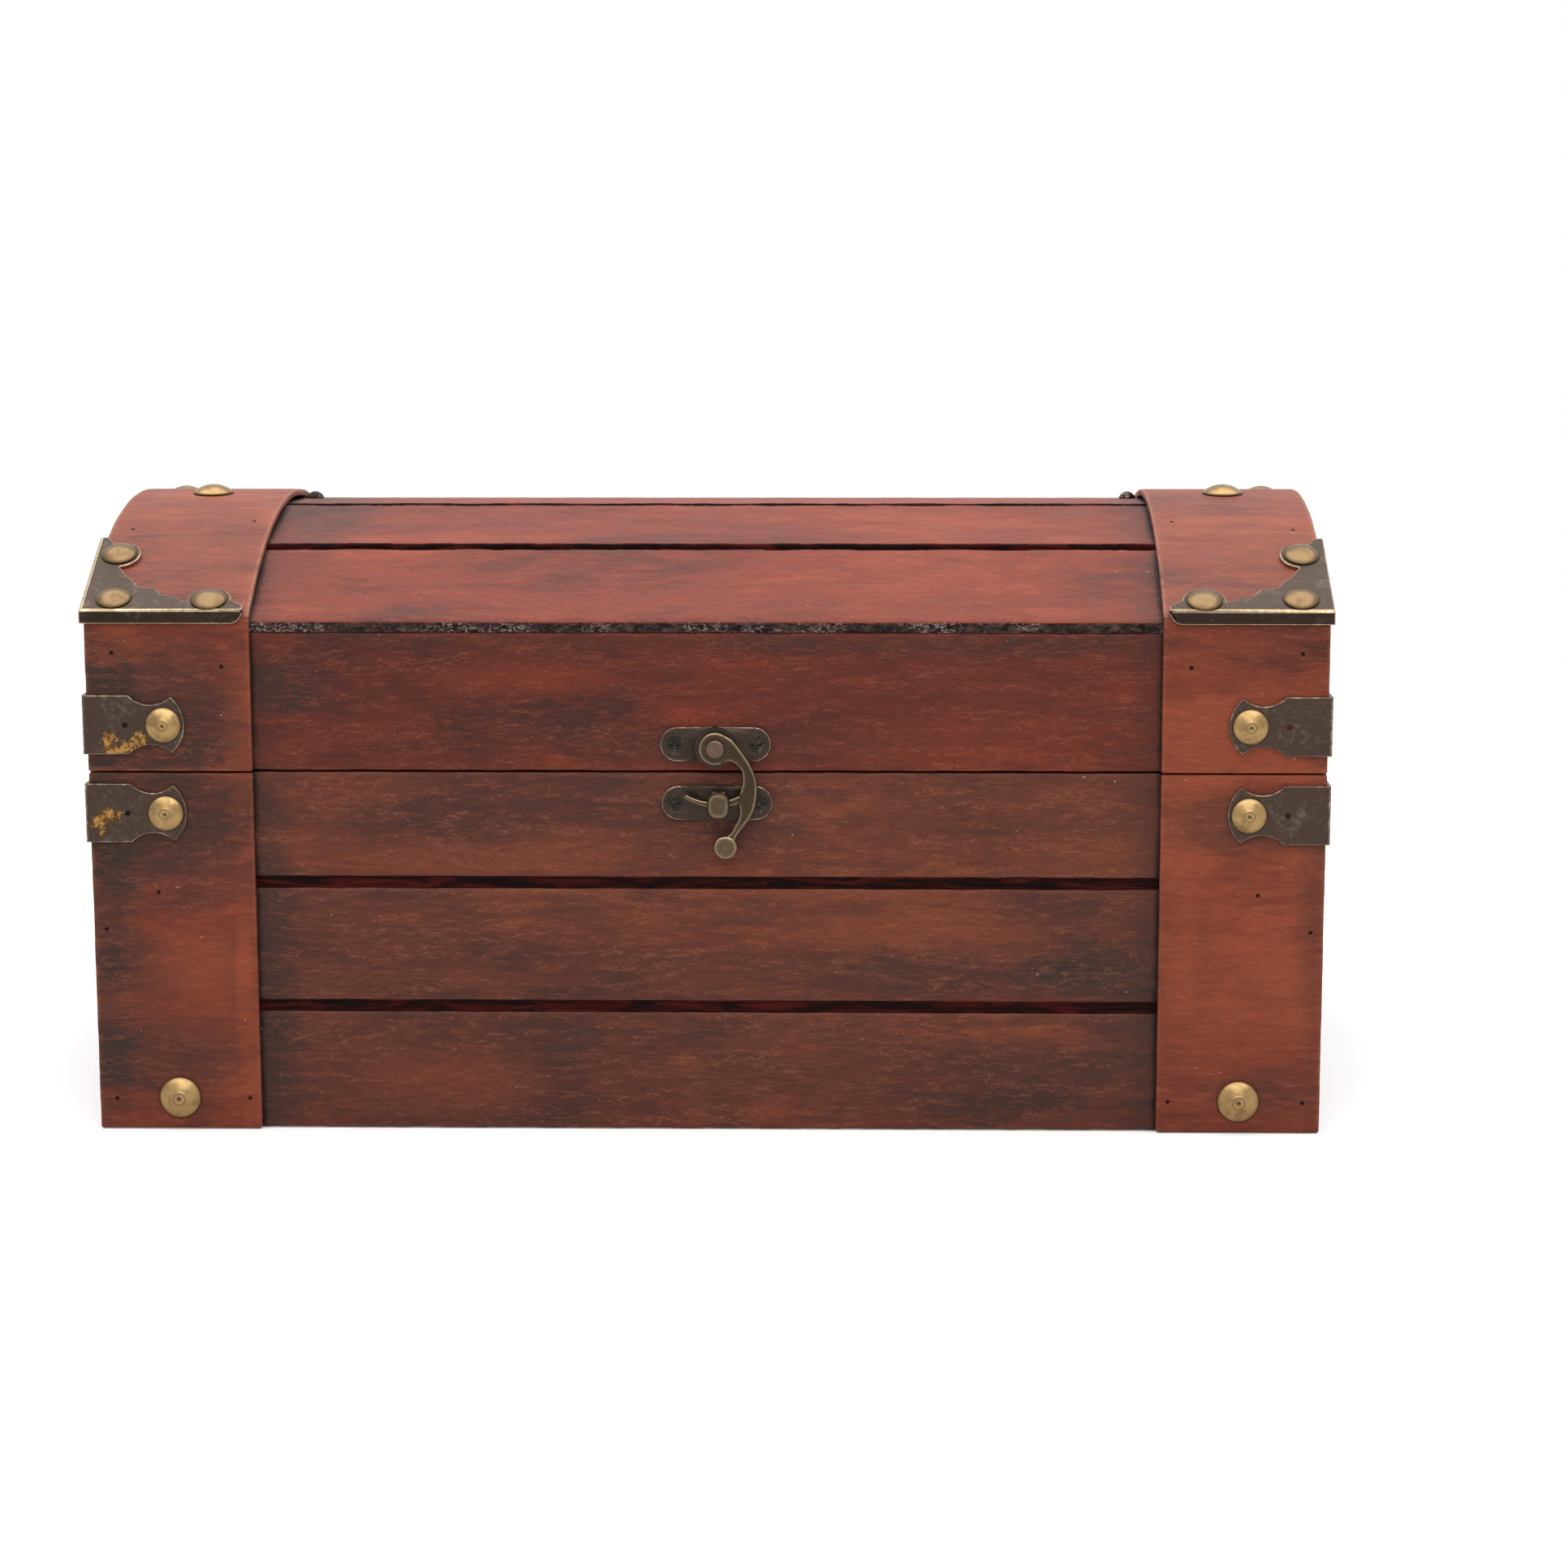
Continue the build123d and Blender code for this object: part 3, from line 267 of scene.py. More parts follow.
# %% Wood recipe
def wood(name, tones, grain="x", soot=(), glows=(), shift=(0, 0, 0), contrast=1.0, sheen=0.15,
         beside_band=0.0):
    """Stained wood in four tones (dark, middle, bright, fibre) and a worn one for its edges. `soot` and
    `glows` are soft eggs of dark and of bright stain; `beside_band` is how dark it gets at the bands, where
    a painted shadow line also runs along their edges."""
    dark, middle, bright, fibre, worn = tones
    mix = Recipe(bpy.data.materials.new(name))
    cloud_place = mix.along_grain(0.42, grain, shift)
    fibre_place = mix.along_grain(0.24, grain, shift)
    cloud = mix.noise(cloud_place, 26, 3, 0.55, 0.6)
    smoke = mix.noise(cloud_place, 95, 4, 0.62, 0.8)
    streak = mix.noise(mix.along_grain(0.15, grain, shift), 340, 4, 0.62, 0.9)
    fleck = mix.noise(fibre_place, 680, 3, 0.65, 0.8)
    light_threads = threads(mix, fibre_place, 1000, 0.060)
    dark_threads = threads(mix, mix.along_grain(0.2, grain, (0.7, 0.3, 0.4)), 1150, 0.055)

    tone = mix.times_plus(cloud, 0.50, mix.times(smoke, 0.28))
    tone = mix.times_plus(streak, 0.22, tone)
    base = mix.blend(mix.spread(tone, 0.38, 0.51), dark, middle)
    base = mix.blend(mix.spread(tone, 0.50, 0.62, 0, 0.85), base, bright)
    if glows:
        base = mix.blend(smudge_share(mix, glows, smoke), base, bright)
    if soot:
        base = mix.blend(smudge_share(mix, soot, smoke), base, soot_tone)
    base = mix.blend(mix.spread(fleck, 0.48, 0.70, 0, 0.30 * contrast), base, bright)
    pores = mix.spread(fleck, 0.47, 0.30, 0, 0.45 * contrast)
    pores = mix.most(pores, mix.times(dark_threads, 0.30 * contrast))
    base = mix.blend(pores, base, dark)
    patchy = mix.spread(streak, 0.40, 0.60, 0.08, 0.44 * contrast)
    patchy = mix.times(patchy, mix.spread(fleck, 0.40, 0.60, 0.2, 1))
    base = mix.blend(mix.times(light_threads, patchy), base, fibre)
    rubbed = mix.spread(fleck, 0.35, 0.60, 0.15, 0.8)
    base = mix.blend(mix.times(mix.attribute("wear"), rubbed), base, worn)
    # darker beside the bands: a soot-dark fade, and a black line that is painted shadow along each band's
    # edge
    if beside_band:
        fade, line = band_soot_and_shadow(mix, smoke, beside_band)
        base = mix.blend(fade, base, soot_tone)
        base = mix.blend(line, base, (0.010, 0.004, 0.004))
    # scattered pale specks
    pale_specks = mix.noise(mix.stretched((0.6, 1, 1), shift), 900, 1, 0.5)
    base = mix.blend(mix.spread(pale_specks, 0.80, 0.83, 0, 0.7), base, (0.45, 0.34, 0.30))

    height = mix.times_plus(light_threads, 0.40, fleck)
    height = mix.times_plus(dark_threads, -0.35, height)
    return mix.surface(base, mix.spread(fleck, 0.35, 0.65, 0.44, 0.60), height, 0.55, 0.00025, sheen)


print("wood recipe: clouds, streaks, flecks and fibres")

# %% [markdown]
# The planks are the darkest wood, browner than the bands. Bands and slats were stained redder, and the slats
# face the light. The bare inside shows the same wood with a thinner, duller stain. The grooves keep all the
# stain that ran into them, and their near-black colour also paints in the shade inside them.

# %% Wood tones
soot_tone = (0.032, 0.019, 0.015)
body_tones = (
    (0.060, 0.021, 0.015), (0.105, 0.028, 0.016), (0.190, 0.046, 0.020), (0.270, 0.105, 0.062),
    (0.160, 0.060, 0.040),
)
lid_tones = (
    (0.058, 0.015, 0.010), (0.108, 0.021, 0.011), (0.190, 0.032, 0.014), (0.260, 0.085, 0.050),
    (0.160, 0.050, 0.035),
)
band_tones = (
    (0.070, 0.019, 0.012), (0.165, 0.033, 0.017), (0.260, 0.056, 0.024), (0.320, 0.100, 0.055),
    (0.330, 0.100, 0.050),
)
slat_tones = (
    (0.095, 0.022, 0.014), (0.190, 0.034, 0.018), (0.280, 0.056, 0.026), (0.330, 0.100, 0.060),
    (0.240, 0.050, 0.030),
)
arch_tones = (
    (0.105, 0.030, 0.020), (0.205, 0.048, 0.028), (0.320, 0.078, 0.036), (0.380, 0.130, 0.080),
    (0.420, 0.190, 0.130),
)
inside_tones = (
    (0.110, 0.050, 0.030), (0.210, 0.100, 0.058), (0.310, 0.160, 0.095), (0.370, 0.205, 0.130),
    (0.380, 0.220, 0.140),
)
print("sets of wood tones: 6")

# %% [markdown]
# Noise can't put a cloud where this chest has one. So the clouds are written down as eggs: dark soot in the
# corners and beside the bands, and the glow of thin stain between them. Each row says where an egg lies, how
# wide and high it is, and how strong.

# %% Clouds of soot and glow, in millimetres
body_soot = (
    (-108, 42, 12, 60, 0.75), (94, 40, 24, 11, 0.75), (76, 14, 42, 13, 0.5), (6, 12, 32, 13, 0.3),
    (-78, 78, 12, 6, 0.35), (10, 78, 24, 9, 0.45), (48, 40, 52, 9, 0.55), (-10, 56, 80, 6, 0.22),
    (20, 25, 52, 8, 0.28), (102, 22, 16, 12, 0.35),
)
body_glows = (
    (-64, 67, 32, 7, 0.6), (-32, 69, 22, 9, 0.55), (86, 82, 26, 6, 0.35), (90, 68, 26, 10, 0.55),
    (68, 47, 24, 8, 0.6), (-62, 12, 28, 10, 0.5),
)
lid_soot = (
    (-102, 110, 14, 10, 0.7), (-36, 103, 24, 6, 0.3), (60, 120, 70, 4, 0.5),
    (-40, 121, 80, 4, 0.25), (-4, 97, 80, 6, 0.3),
)
lid_glows = ((-44, 112, 32, 5, 0.6), (56, 96, 40, 8, 0.4))
slat_soot = ((-98, 145, 14, 8, 0.6), (91.5, 121.5, 1.5, 1, 1))
band_soot = (
    (-130, 74, 30, 22, 0.8), (-150, 45, 14, 56, 0.68), (-138, 40, 16, 12, 0.3),
    (-132, 17, 28, 14, 0.6), (-134, 104, 30, 22, 0.8), (-150, 104, 14, 28, 0.75),
    (138, 10, 24, 8, 0.45), (130, 77, 26, 11, 0.55), (150, 55, 8, 60, 0.45),
    (128, 119, 22, 6, 0.15),
)
band_glows = (
    (-124, 41, 18, 11, 0.6), (128, 34, 24, 24, 0.5), (-113.5, 95, 4, 26, 0.55),
    (-113, 30, 3, 40, 0.55), (115, 60, 6, 40, 0.4),
)
print("clouds on the body:", len(body_soot) + len(body_glows))

# %% Wood finishes
body_plank_wood = wood("body_plank_wood", body_tones, soot=body_soot, glows=body_glows, beside_band=0.45)
lid_plank_wood = wood(
    "lid_plank_wood", lid_tones, soot=lid_soot, glows=lid_glows, shift=(0.3, 0, 0.1), beside_band=0.35,
)
end_wood = wood("end_wood", body_tones, grain="y", shift=(0.1, 0.4, 0))
slat_wood = wood(
    "slat_wood", slat_tones, soot=slat_soot, shift=(0.7, 0.2, 0), contrast=0.8, sheen=0.25, beside_band=0.55,
)
band_wood = wood(
    "band_wood", band_tones, soot=band_soot, glows=band_glows, shift=(0.2, 0.9, 0.3), contrast=0.7,
)
arch_wood = wood("arch_wood", arch_tones, shift=(0.4, 0.6, 0.8), contrast=0.7, sheen=0.28)
inside_wood = wood("inside_wood", inside_tones, shift=(0.5, 0.1, 0.2), contrast=0.7)

# the grooves: soaked black-red with stain, rough, with a few red streaks; the near-black also paints in the
# shade inside them
mix = Recipe(bpy.data.materials.new("groove_stain_and_shade"))
streak = mix.noise(mix.along_grain(0.12), 420, 4, 0.65, 1.0)
base = mix.blend(mix.spread(streak, 0.44, 0.66), (0.010, 0.002, 0.002), (0.085, 0.009, 0.006))
groove_stain_and_shade = mix.surface(base, 0.7, streak, 0.6, 0.0002, 0.10)
print("wood finishes: 8")

# %% [markdown]
# ## Aged bronze, brass and steel
#
# The fittings are stamped sheet, blackened and then rubbed, so the flats stay dark and mottled while rims
# shine through. The brackets' folds get a bright metal as a painted highlight, and their upright faces a
# darker one as painted shade. A metal with one even colour looks like plastic. The recipe mixes a dark
# patina into the bare metal by noise, lets scratches break it, and roughens what is dark.

# %% Metal recipe
def aged_metal(name, patina, bare, bare_share=0.25, rough=0.36, ochre=(), rim=None):
    """Metal under a finely mottled patina; bare_share is how much of it is rubbed through. `ochre`
    lists eggs, as `smudge_share` takes them, where the old lacquer went yellow. `rim` is the tone of
    points that carry `wear`."""
    mix = Recipe(bpy.data.materials.new(name))
    place = mix.stretched()
    cloud = mix.noise(place, 150, 4, 0.6, 0.5)
    grains = mix.noise(place, 850, 4, 0.7, 0.3)
    scratch = mix.noise(mix.stretched((0.10, 0.5, 1)), 1300, 2, 0.5, 0.2)
    rubbed = mix.times_plus(grains, 0.55, mix.times(cloud, 0.45))
    rubbed = mix.spread(rubbed, 0.60 - bare_share * 0.35, 0.80 - bare_share * 0.35)
    share = mix.most(rubbed, mix.spread(scratch, 0.64, 0.72, 0, 0.25))
    base = mix.blend(share, patina, bare)
    if ochre:
        ragged = mix.spread(mix.noise(place, 480, 4, 0.75, 0.6), 0.34, 0.66)
        yellowed = mix.spread(smudge_share(mix, ochre, ragged), 0.22, 0.55)
        yellow = mix.blend(mix.spread(grains, 0.40, 0.60), (0.10, 0.045, 0.014), (0.40, 0.215, 0.062))
        base = mix.blend(yellowed, base, yellow)
    if rim:
        rubbed_rim = mix.times(mix.attribute("wear"), mix.spread(grains, 0.30, 0.55, 0.6, 1))
        base = mix.blend(rubbed_rim, base, rim)
    rough = mix.spread(share, 0, 1, rough + 0.10, rough - 0.04)
    return mix.surface(base, rough, grains, 0.30, 0.00005, metallic=1.0)


print("metal recipe: patina, rubbed metal, scratches and old lacquer")

# %% Metal finishes
strap_ochre = (
    (-141.5, 95.2, 5.6, 2.2, 1), (-137, 97.2, 2.6, 2.4, 1), (-144.8, 97, 2.2, 2.4, 1),
    (-147.4, 77.6, 2.6, 3.2, 1), (-145.2, 79, 3, 1.4, 1),
)
bracket_bronze = aged_metal("bracket_bronze", (0.072, 0.053, 0.041), (0.112, 0.086, 0.067), 0.3, 0.42)
strap_bronze = aged_metal(
    "strap_bronze", (0.066, 0.044, 0.034), (0.128, 0.098, 0.072), 0.3, 0.42, ochre=strap_ochre,
)
rim_bronze = aged_metal("rim_bronze", (0.13, 0.092, 0.067), (0.40, 0.300, 0.210), 0.45, 0.34)
# bright metal for the brackets' bevels: rubbed rims, and on the wide fold a painted highlight
rim_and_fold_highlight_bronze = aged_metal("rim_and_fold_highlight_bronze", (0.34, 0.240, 0.145), (0.60, 0.450, 0.290), 0.45, 0.26)
# darker copy of the bracket bronze for the brackets' upright faces: painted shade
flange_painted_shade_bronze = aged_metal("flange_painted_shade_bronze", (0.034, 0.023, 0.018), (0.070, 0.050, 0.038), 0.3, 0.36)
latch_bronze = aged_metal("latch_bronze", (0.048, 0.034, 0.027), (0.095, 0.072, 0.054), 0.2, 0.36)
arm_bronze = aged_metal(
    "arm_bronze", (0.052, 0.036, 0.023), (0.115, 0.082, 0.050), 0.25, 0.30, rim=(0.30, 0.215, 0.130),
)
rivet_bronze = aged_metal("rivet_bronze", (0.130, 0.082, 0.058), (0.270, 0.185, 0.130), 0.4, 0.34)
hinge_bronze = aged_metal("hinge_bronze", (0.060, 0.044, 0.033), (0.140, 0.108, 0.078), 0.3, 0.38)
screw_steel = aged_metal("screw_steel", (0.030, 0.024, 0.020), (0.130, 0.105, 0.085), 0.28, 0.30)
brad_steel = aged_metal("brad_steel", (0.020, 0.012, 0.010), (0.040, 0.030, 0.026), 0.1, 0.6)
print("metal finishes: 11")

# %% [markdown]
# ## Brass nails that were spun
#
# The nail heads were pressed and polished on a lathe, which leaves faint rings round a small dimple.
# The recipe needs to know how far from the middle of its own head each point lies, and object
# coordinates can't say that, because the heads face many ways. So each head carries that distance as
# a number on its points, and the rings are a wave along it.

# %% Nail brass
def domed_brass(name, bright, rim_start, turned=False):
    """Satin brass, darker at the rim of each head: patina, and painted shade for the dark wood that the rim
    reflects. If it was turned on a lathe, it also has fine rings, a ridge and a dark dimple round the
    middle."""
    mix = Recipe(bpy.data.materials.new(name))
    place = mix.stretched()
    reach = mix.attribute("reach")
    mottle = mix.noise(place, 320, 5, 0.65, 0.4)
    grains = mix.noise(place, 1300, 3, 0.6)
    patina = mix.spread(mottle, 0.44, 0.68, 0.10, 0.50)
    # the head darkens from rim_start out to its rim: patina, and painted shade of the dark wood it reflects
    patina = mix.most(patina, mix.spread(reach, rim_start, 1.0, 0, 0.95))
    height = mix.times(grains, 0.4)
    if turned:
        ring = mix.times_plus(mix.calculate("SINE", mix.times(reach, 60.0)), 0.5, 0.5)
        patina = mix.most(patina, mix.spread(reach, 0.17, 0.06, 0, 0.9))
        ridge = mix.times(mix.spread(reach, 0.22, 0.27), mix.spread(reach, 0.35, 0.29, 0, 0.6))
        patina = mix.times_plus(ring, 0.08, mix.most(patina, ridge))
        height = mix.times_plus(ring, 0.4, height)
    base = mix.blend(patina, bright, (0.085, 0.052, 0.024))
    return mix.surface(base, mix.spread(patina, 0, 1, 0.30, 0.44), height, 0.25, 0.00006, metallic=1.0)


spun_brass = domed_brass("spun_brass", (0.420, 0.270, 0.115), 0.86, turned=True)
# the bracket nails' brass, darker than the rest: painted shade for the dark surroundings their domes reflect
brass_with_painted_shade = domed_brass("brass_with_painted_shade", (0.205, 0.132, 0.068), 0.80)
arch_brass = domed_brass("arch_brass", (0.380, 0.245, 0.105), 0.88)
# dark lacquer whose pale mottled tone stands in for glints: painted highlights
lump_lacquer_painted_glints = aged_metal("lump_lacquer_painted_glints", (0.018, 0.011, 0.010), (0.190, 0.130, 0.115), 0.35, 0.34)
print("nail finishes: 4")

# %% [markdown]
# ## Turning arrays into meshes
#
# Every surface made here is a grid of points worked out at once with numpy. Quads join each point to
# the next one round and the next one along. Filling the mesh from whole arrays keeps it quick, and
# the same helper writes any numbers that the finish wants to read from the points.

# %% Mesh helpers
def put_on(name, mesh, body):
    """Make a mesh a piece of the chest, in place, riding on a body."""
    piece = bpy.data.objects.new(name, mesh)
    bpy.context.scene.collection.objects.link(piece)
    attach(piece, body)
    return piece


def mesh_piece(name, points, faces, materials, body, numbers=None, sharp=50):
    """Make one piece from arrays of points and faces, with numbers that its points carry."""
    mesh = bpy.data.meshes.new(name)
    mesh.from_pydata(points.tolist(), [], faces)
    for number, values in (numbers or {}).items():
        layer = mesh.attributes.new(number, "FLOAT", "POINT")
        layer.data.foreach_set("value", values.astype(np.float32).ravel())
    for material in materials:
        mesh.materials.append(material)
    mesh.shade_smooth()
    mesh.set_sharp_from_angle(angle=math.radians(sharp))
    mesh.update()
    return put_on(name, mesh, body)


def loop_quads(rows, around):
    """Quads of a grid whose rows are closed loops: each joins row r to r + 1 and column c to c + 1."""
    row, column = np.meshgrid(np.arange(rows - 1), np.arange(around), indexing="ij")
    after = (column + 1) % around
    here, ahead = row * around, (row + 1) * around
    return np.stack([here + column, here + after, ahead + after, ahead + column], axis=-1).reshape(-1, 4)


def end_faces(points, around):
    """The two faces that close a grid of loops at its first row and at its last."""
    count = len(points)
    return [list(range(around))[::-1], list(range(count - around, count))]


def facing_out(points, quads, ends):
    """Faces of a closed shape, turned round if they look inwards: that is so if (d1 x d2) . (corner -
    middle), added up over the quads, is below 0, where d1 and d2 are a quad's diagonals."""
    across = np.cross(points[quads[:, 2]] - points[quads[:, 0]], points[quads[:, 3]] - points[quads[:, 1]])
    inward = np.sum(across * (points[quads[:, 0]] - points.mean(axis=0))) < 0
    faces = quads.tolist() + ends
    return [face[::-1] for face in faces] if inward else faces


print("quads of a grid of 3 loops of 4 points:", len(loop_quads(3, 4)))

# %% [markdown]
# ## A board is a section carried along its length
#
# A saw leaves square edges, and years of handling take them off unevenly. Each board here starts as
# the outline of its end. Every corner of the outline is replaced by a small curve, the outline is
# carried along the board, and it is drawn in a little at both ends. Then each long edge wanders in
# and out by a fraction of a millimetre, as split wood does. A bevel modifier could soften the edges,
# but it couldn't fray them.

# %% Board outline
curve_steps = 4
edge_fade = np.array([0.15, 0.55, 1.4, 3.5]) * 0.001
points_per_corner = curve_steps + 2 * len(edge_fade)


def softened_outline(corners, radius):
    """Closed outline through corners. Each corner becomes a quadratic curve from a, `radius` before
    it, to b, `radius` after it: (1 - t)^2 a + 2 t (1 - t) corner + t^2 b. Returns the points, how near
    each is to a corner (1 on it, fading to 0), and which corner is nearest."""
    corners = np.array(corners, float)
    before, after = np.roll(corners, 1, 0) - corners, np.roll(corners, -1, 0) - corners
    before_length = np.linalg.norm(before, axis=1, keepdims=True)
    after_length = np.linalg.norm(after, axis=1, keepdims=True)
    soft = np.minimum(radius, 0.4 * np.minimum(before_length, after_length))
    start, stop = corners + before / before_length * soft, corners + after / after_length * soft
    t = np.linspace(0, 1, curve_steps)[None, :, None]
    curve = (1 - t) ** 2 * start[:, None] + 2 * t * (1 - t) * corners[:, None] + t**2 * stop[:, None]
    run = np.roll(start, -1, 0) - stop
    run_length = np.linalg.norm(run, axis=1)[:, None, None]
    fade = edge_fade[None, :, None]
    from_start = np.minimum(fade, 0.46 * run_length * fade / edge_fade[-1])
    along = np.concatenate([from_start, run_length - from_start[:, ::-1]], axis=1)
    straight = stop[:, None] + run[:, None] * along / run_length
    points = np.concatenate([curve, straight], axis=1)
    gap = np.minimum(along, run_length - along)[..., 0]
    on_curve = np.ones((len(corners), curve_steps))
    closeness = np.concatenate([on_curve, np.clip(1 - gap / edge_fade[-1], 0, 1) ** 2], axis=1)
    index = np.repeat(np.arange(len(corners))[:, None], points_per_corner, axis=1)
    index[:, -len(edge_fade):] = (index[:, -len(edge_fade):] + 1) % len(corners)
    return points.reshape(-1, 2), closeness.ravel(), index.ravel()


square = [(0, 0), (1, 0), (1, 1), (0, 1)]
print("a square batten's outline has", len(softened_outline(square, 0.1)[0]), "points")

# %% [markdown]
# A split edge is uneven at all sizes: long bends with shorter ones on them. One sine wave would look
# like a scallop, so the edge follows the sum of sixteen waves of random length. It moves along the
# outline's normal, and only edges that stick out are rubbed pale.

# %% Normals, turns and an uneven edge
def outward(points):
    """Unit normals of a closed outline that runs anticlockwise: the tangent turned by a quarter."""
    tangent = np.roll(points, -1, 0) - np.roll(points, 1, 0)
    normal = np.stack([tangent[:, 1], -tangent[:, 0]], axis=1)
    return normal / np.maximum(np.linalg.norm(normal, axis=1, keepdims=True), 1e-9)


def corner_turns(corners):
    """Which way each corner of an outline turns: above 0 where it sticks out, below 0 in a groove."""
    corners = np.array(corners, float)
    before, after = corners - np.roll(corners, 1, 0), np.roll(corners, -1, 0) - corners
    return before[:, 0] * after[:, 1] - before[:, 1] * after[:, 0]


def wander(seed, count, places, finest):
    """Rows of uneven values from 0 to 1 along some places: sixteen sine waves of random length and
    start, from `finest` to thirty times as long, added up and held in range by a tanh."""
    rng = np.random.default_rng(seed)
    lengths = finest * 30 ** rng.uniform(0, 1, (count, 16, 1))
    starts = rng.uniform(0, 2 * np.pi, (count, 16, 1))
    sizes = (lengths / lengths.sum(axis=1, keepdims=True)) ** 0.4
    total = (np.sin(2 * np.pi * places / lengths + starts) * sizes).sum(axis=1)
    return 0.5 + 0.5 * np.tanh(0.8 * total)


print("corners of the batten that stick out:", int((corner_turns(square) > 0).sum()))

# %% [markdown]
# The outline can be carried straight along X, Y or Z, or bent over the lid. Each way is a small
# function that turns "how far along, and where on the outline" into a place in the room.

# %% Ways to carry an outline
def along_x(along, first, second):
    """Outline in (y, z), carried along X."""
    return along, first, second


def along_y(along, first, second):
    """Outline in (x, z), carried along Y."""
    return first, along, second


def along_z(along, first, second):
    """Outline in (x, y), carried up Z."""
    return first, second, along


print("the front's lower corner, carried half way along X:", along_x(0, -plank_face, 0))

# %% Board from an outline
finest_wave = 0.0013
worn_length = 0.0012


def board(node, corners, span, carried, material, body, seed, radius=0.0005, fray=0.00015,
          end_round=0.0004, step=0.001, sides=None, worn_edge=0.35, worn_ends=0.25, far_corners=False):
    """A board in place of a node: its softened outline at stations along a span, each point pulled in
    along the normal by fray x wander x closeness^4, and by a quarter circle at both ends. `fray` is one
    length, or one for each corner. `sides` gives sides of the outline their own finish, with the corner
    before them, or with `far_corners` the one after. Carries `wear`, near 1 where an edge was rubbed."""
    outline, closeness, nearest = softened_outline(corners, radius)
    normal = outward(outline)
    low, high = span
    turn = np.linspace(0, np.pi / 2, 4)[:-1]
    rounding, drawn = end_round * (1 - np.cos(turn)), end_round * (1 - np.sin(turn))
    middle = np.linspace(low + end_round, high - end_round, max(8, round((high - low) / step)))
    places = np.concatenate([low + rounding, middle, (high - rounding)[::-1]])
    drawn = np.concatenate([drawn, np.zeros(len(middle)), drawn[::-1]])
    frayed = wander(seed, len(corners), places, finest_wave)[nearest].T * closeness**4
    frayed = frayed * (fray + np.zeros(len(corners)))[nearest]
    section = outline[None] - normal[None] * (frayed + drawn[:, None])[..., None]
    along = np.repeat(places[:, None], len(outline), axis=1)
    points = np.stack(carried(along, section[..., 0], section[..., 1]), axis=-1).reshape(-1, 3)
    faces = facing_out(points, loop_quads(len(places), len(outline)), end_faces(points, len(outline)))

    near_end = worn_ends * np.clip(1 - np.minimum(places - low, high - places) / worn_length, 0, 1)
    proud = np.where(corner_turns(corners)[nearest] > 0, closeness**6, 0)
    wear = np.maximum(proud[None] * worn_edge, near_end[:, None])
    sides = sides or {}
    materials = [material, *dict.fromkeys(sides.values())]
    piece = mesh_piece(node + "_wood", points, faces, materials, body, {"wear": wear})
    chosen = np.zeros(len(outline), np.int32)
    for side, finish in sides.items():
        chosen[side * points_per_corner:(side + 1) * points_per_corner] = materials.index(finish)
    chosen = np.roll(chosen, curve_steps if far_corners else 0)
    finishes = np.concatenate([np.tile(chosen, len(places) - 1), [0, 0]])
    piece.data.polygons.foreach_set("material_index", finishes.astype(np.int32))
    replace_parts(piece, node)


print("the fray of a board has waves from", 1000 * finest_wave, "mm")

# %% [markdown]
# ## The body: three planks high
#
# Front, back and ends look like three planks laid on each other. On the real box each side is one
# board with two grooves cut across its face, so one outline with two notches makes the whole side.
# The floors of the grooves are nearly black: stain gathers there and no cloth reaches in, and the colour
# also paints in the shade that falls inside them.

# %% Outline of a grooved side
groove_width = 0.0026
groove_depth = 0.0016
groove_heights = (0.345 * body_top, 0.692 * body_top)


def notched_side(face, floor, back):
    """Outline of a side board: up its face with the two grooves, and down its flat back."""
    corners = [(face, 0)]
    for height in groove_heights:
        low, high = height - groove_width / 2, height + groove_width / 2
        corners += [(face, low), (floor, low), (floor, high), (face, high)]
    return corners + [(face, body_top), (back, body_top), (back, 0)]


def anticlockwise(corners):
    """The same corners, turned round if they run clockwise."""
    return corners if corner_turns(corners).sum() > 0 else corners[::-1]


def flat_side(corners, value):
    """Index of the side of an outline whose two corners both have this first coordinate."""
    firsts = np.array(corners)[:, 0]
    both = np.isclose(firsts, value) & np.isclose(np.roll(firsts, -1), value)
    return int(np.flatnonzero(both)[0])


def groove_sides(corners, floor):
    """Sides of an outline that touch a groove's floor: the floor itself and its two walls."""
    deep = np.isclose(np.array(corners)[:, 0], floor)
    return np.flatnonzero(deep | np.roll(deep, -1)).tolist()


print("grooves at", [round(1000 * height, 1) for height in groove_heights], "mm")

# %% Body boards
def side_board(node, face, back, span, carried, material, seed):
    """One grooved side of the body."""
    floor = math.copysign(abs(face) - groove_depth, face)
    corners = anticlockwise(notched_side(face, floor, back))
    sides = {flat_side(corners, back): inside_wood}
    sides |= dict.fromkeys(groove_sides(corners, floor), groove_stain_and_shade)
    board(node, corners, span, carried, material, "chest", seed, end_round=0.00012, sides=sides)


long_span = (-half_length, half_length)
deep_span = (-panel_inside, panel_inside)
side_board("body_front_panel", -plank_face, -panel_inside, long_span, along_x, body_plank_wood, 11)
side_board("body_back_panel", plank_face, panel_inside, long_span, along_x, body_plank_wood, 12)
side_board("body_end_left", -half_length, -end_inside, deep_span, along_y, end_wood, 13)
side_board("body_end_right", half_length, end_inside, deep_span, along_y, end_wood, 14)
nodes["base_board"].data.materials.clear()
nodes["base_board"].data.materials.append(inside_wood)
print("body boards in place")

# %% [markdown]
# ## The lid: five flat slats bent round a circle
#
# The slats are flat, and only their edges touch the arch. Each slat has a thin tongue under the
# groove behind it, which closes the gap, as the boards of a barrel lid do. The front edge of the
# first slat was left raw: it shows as a rough black line between the bands.

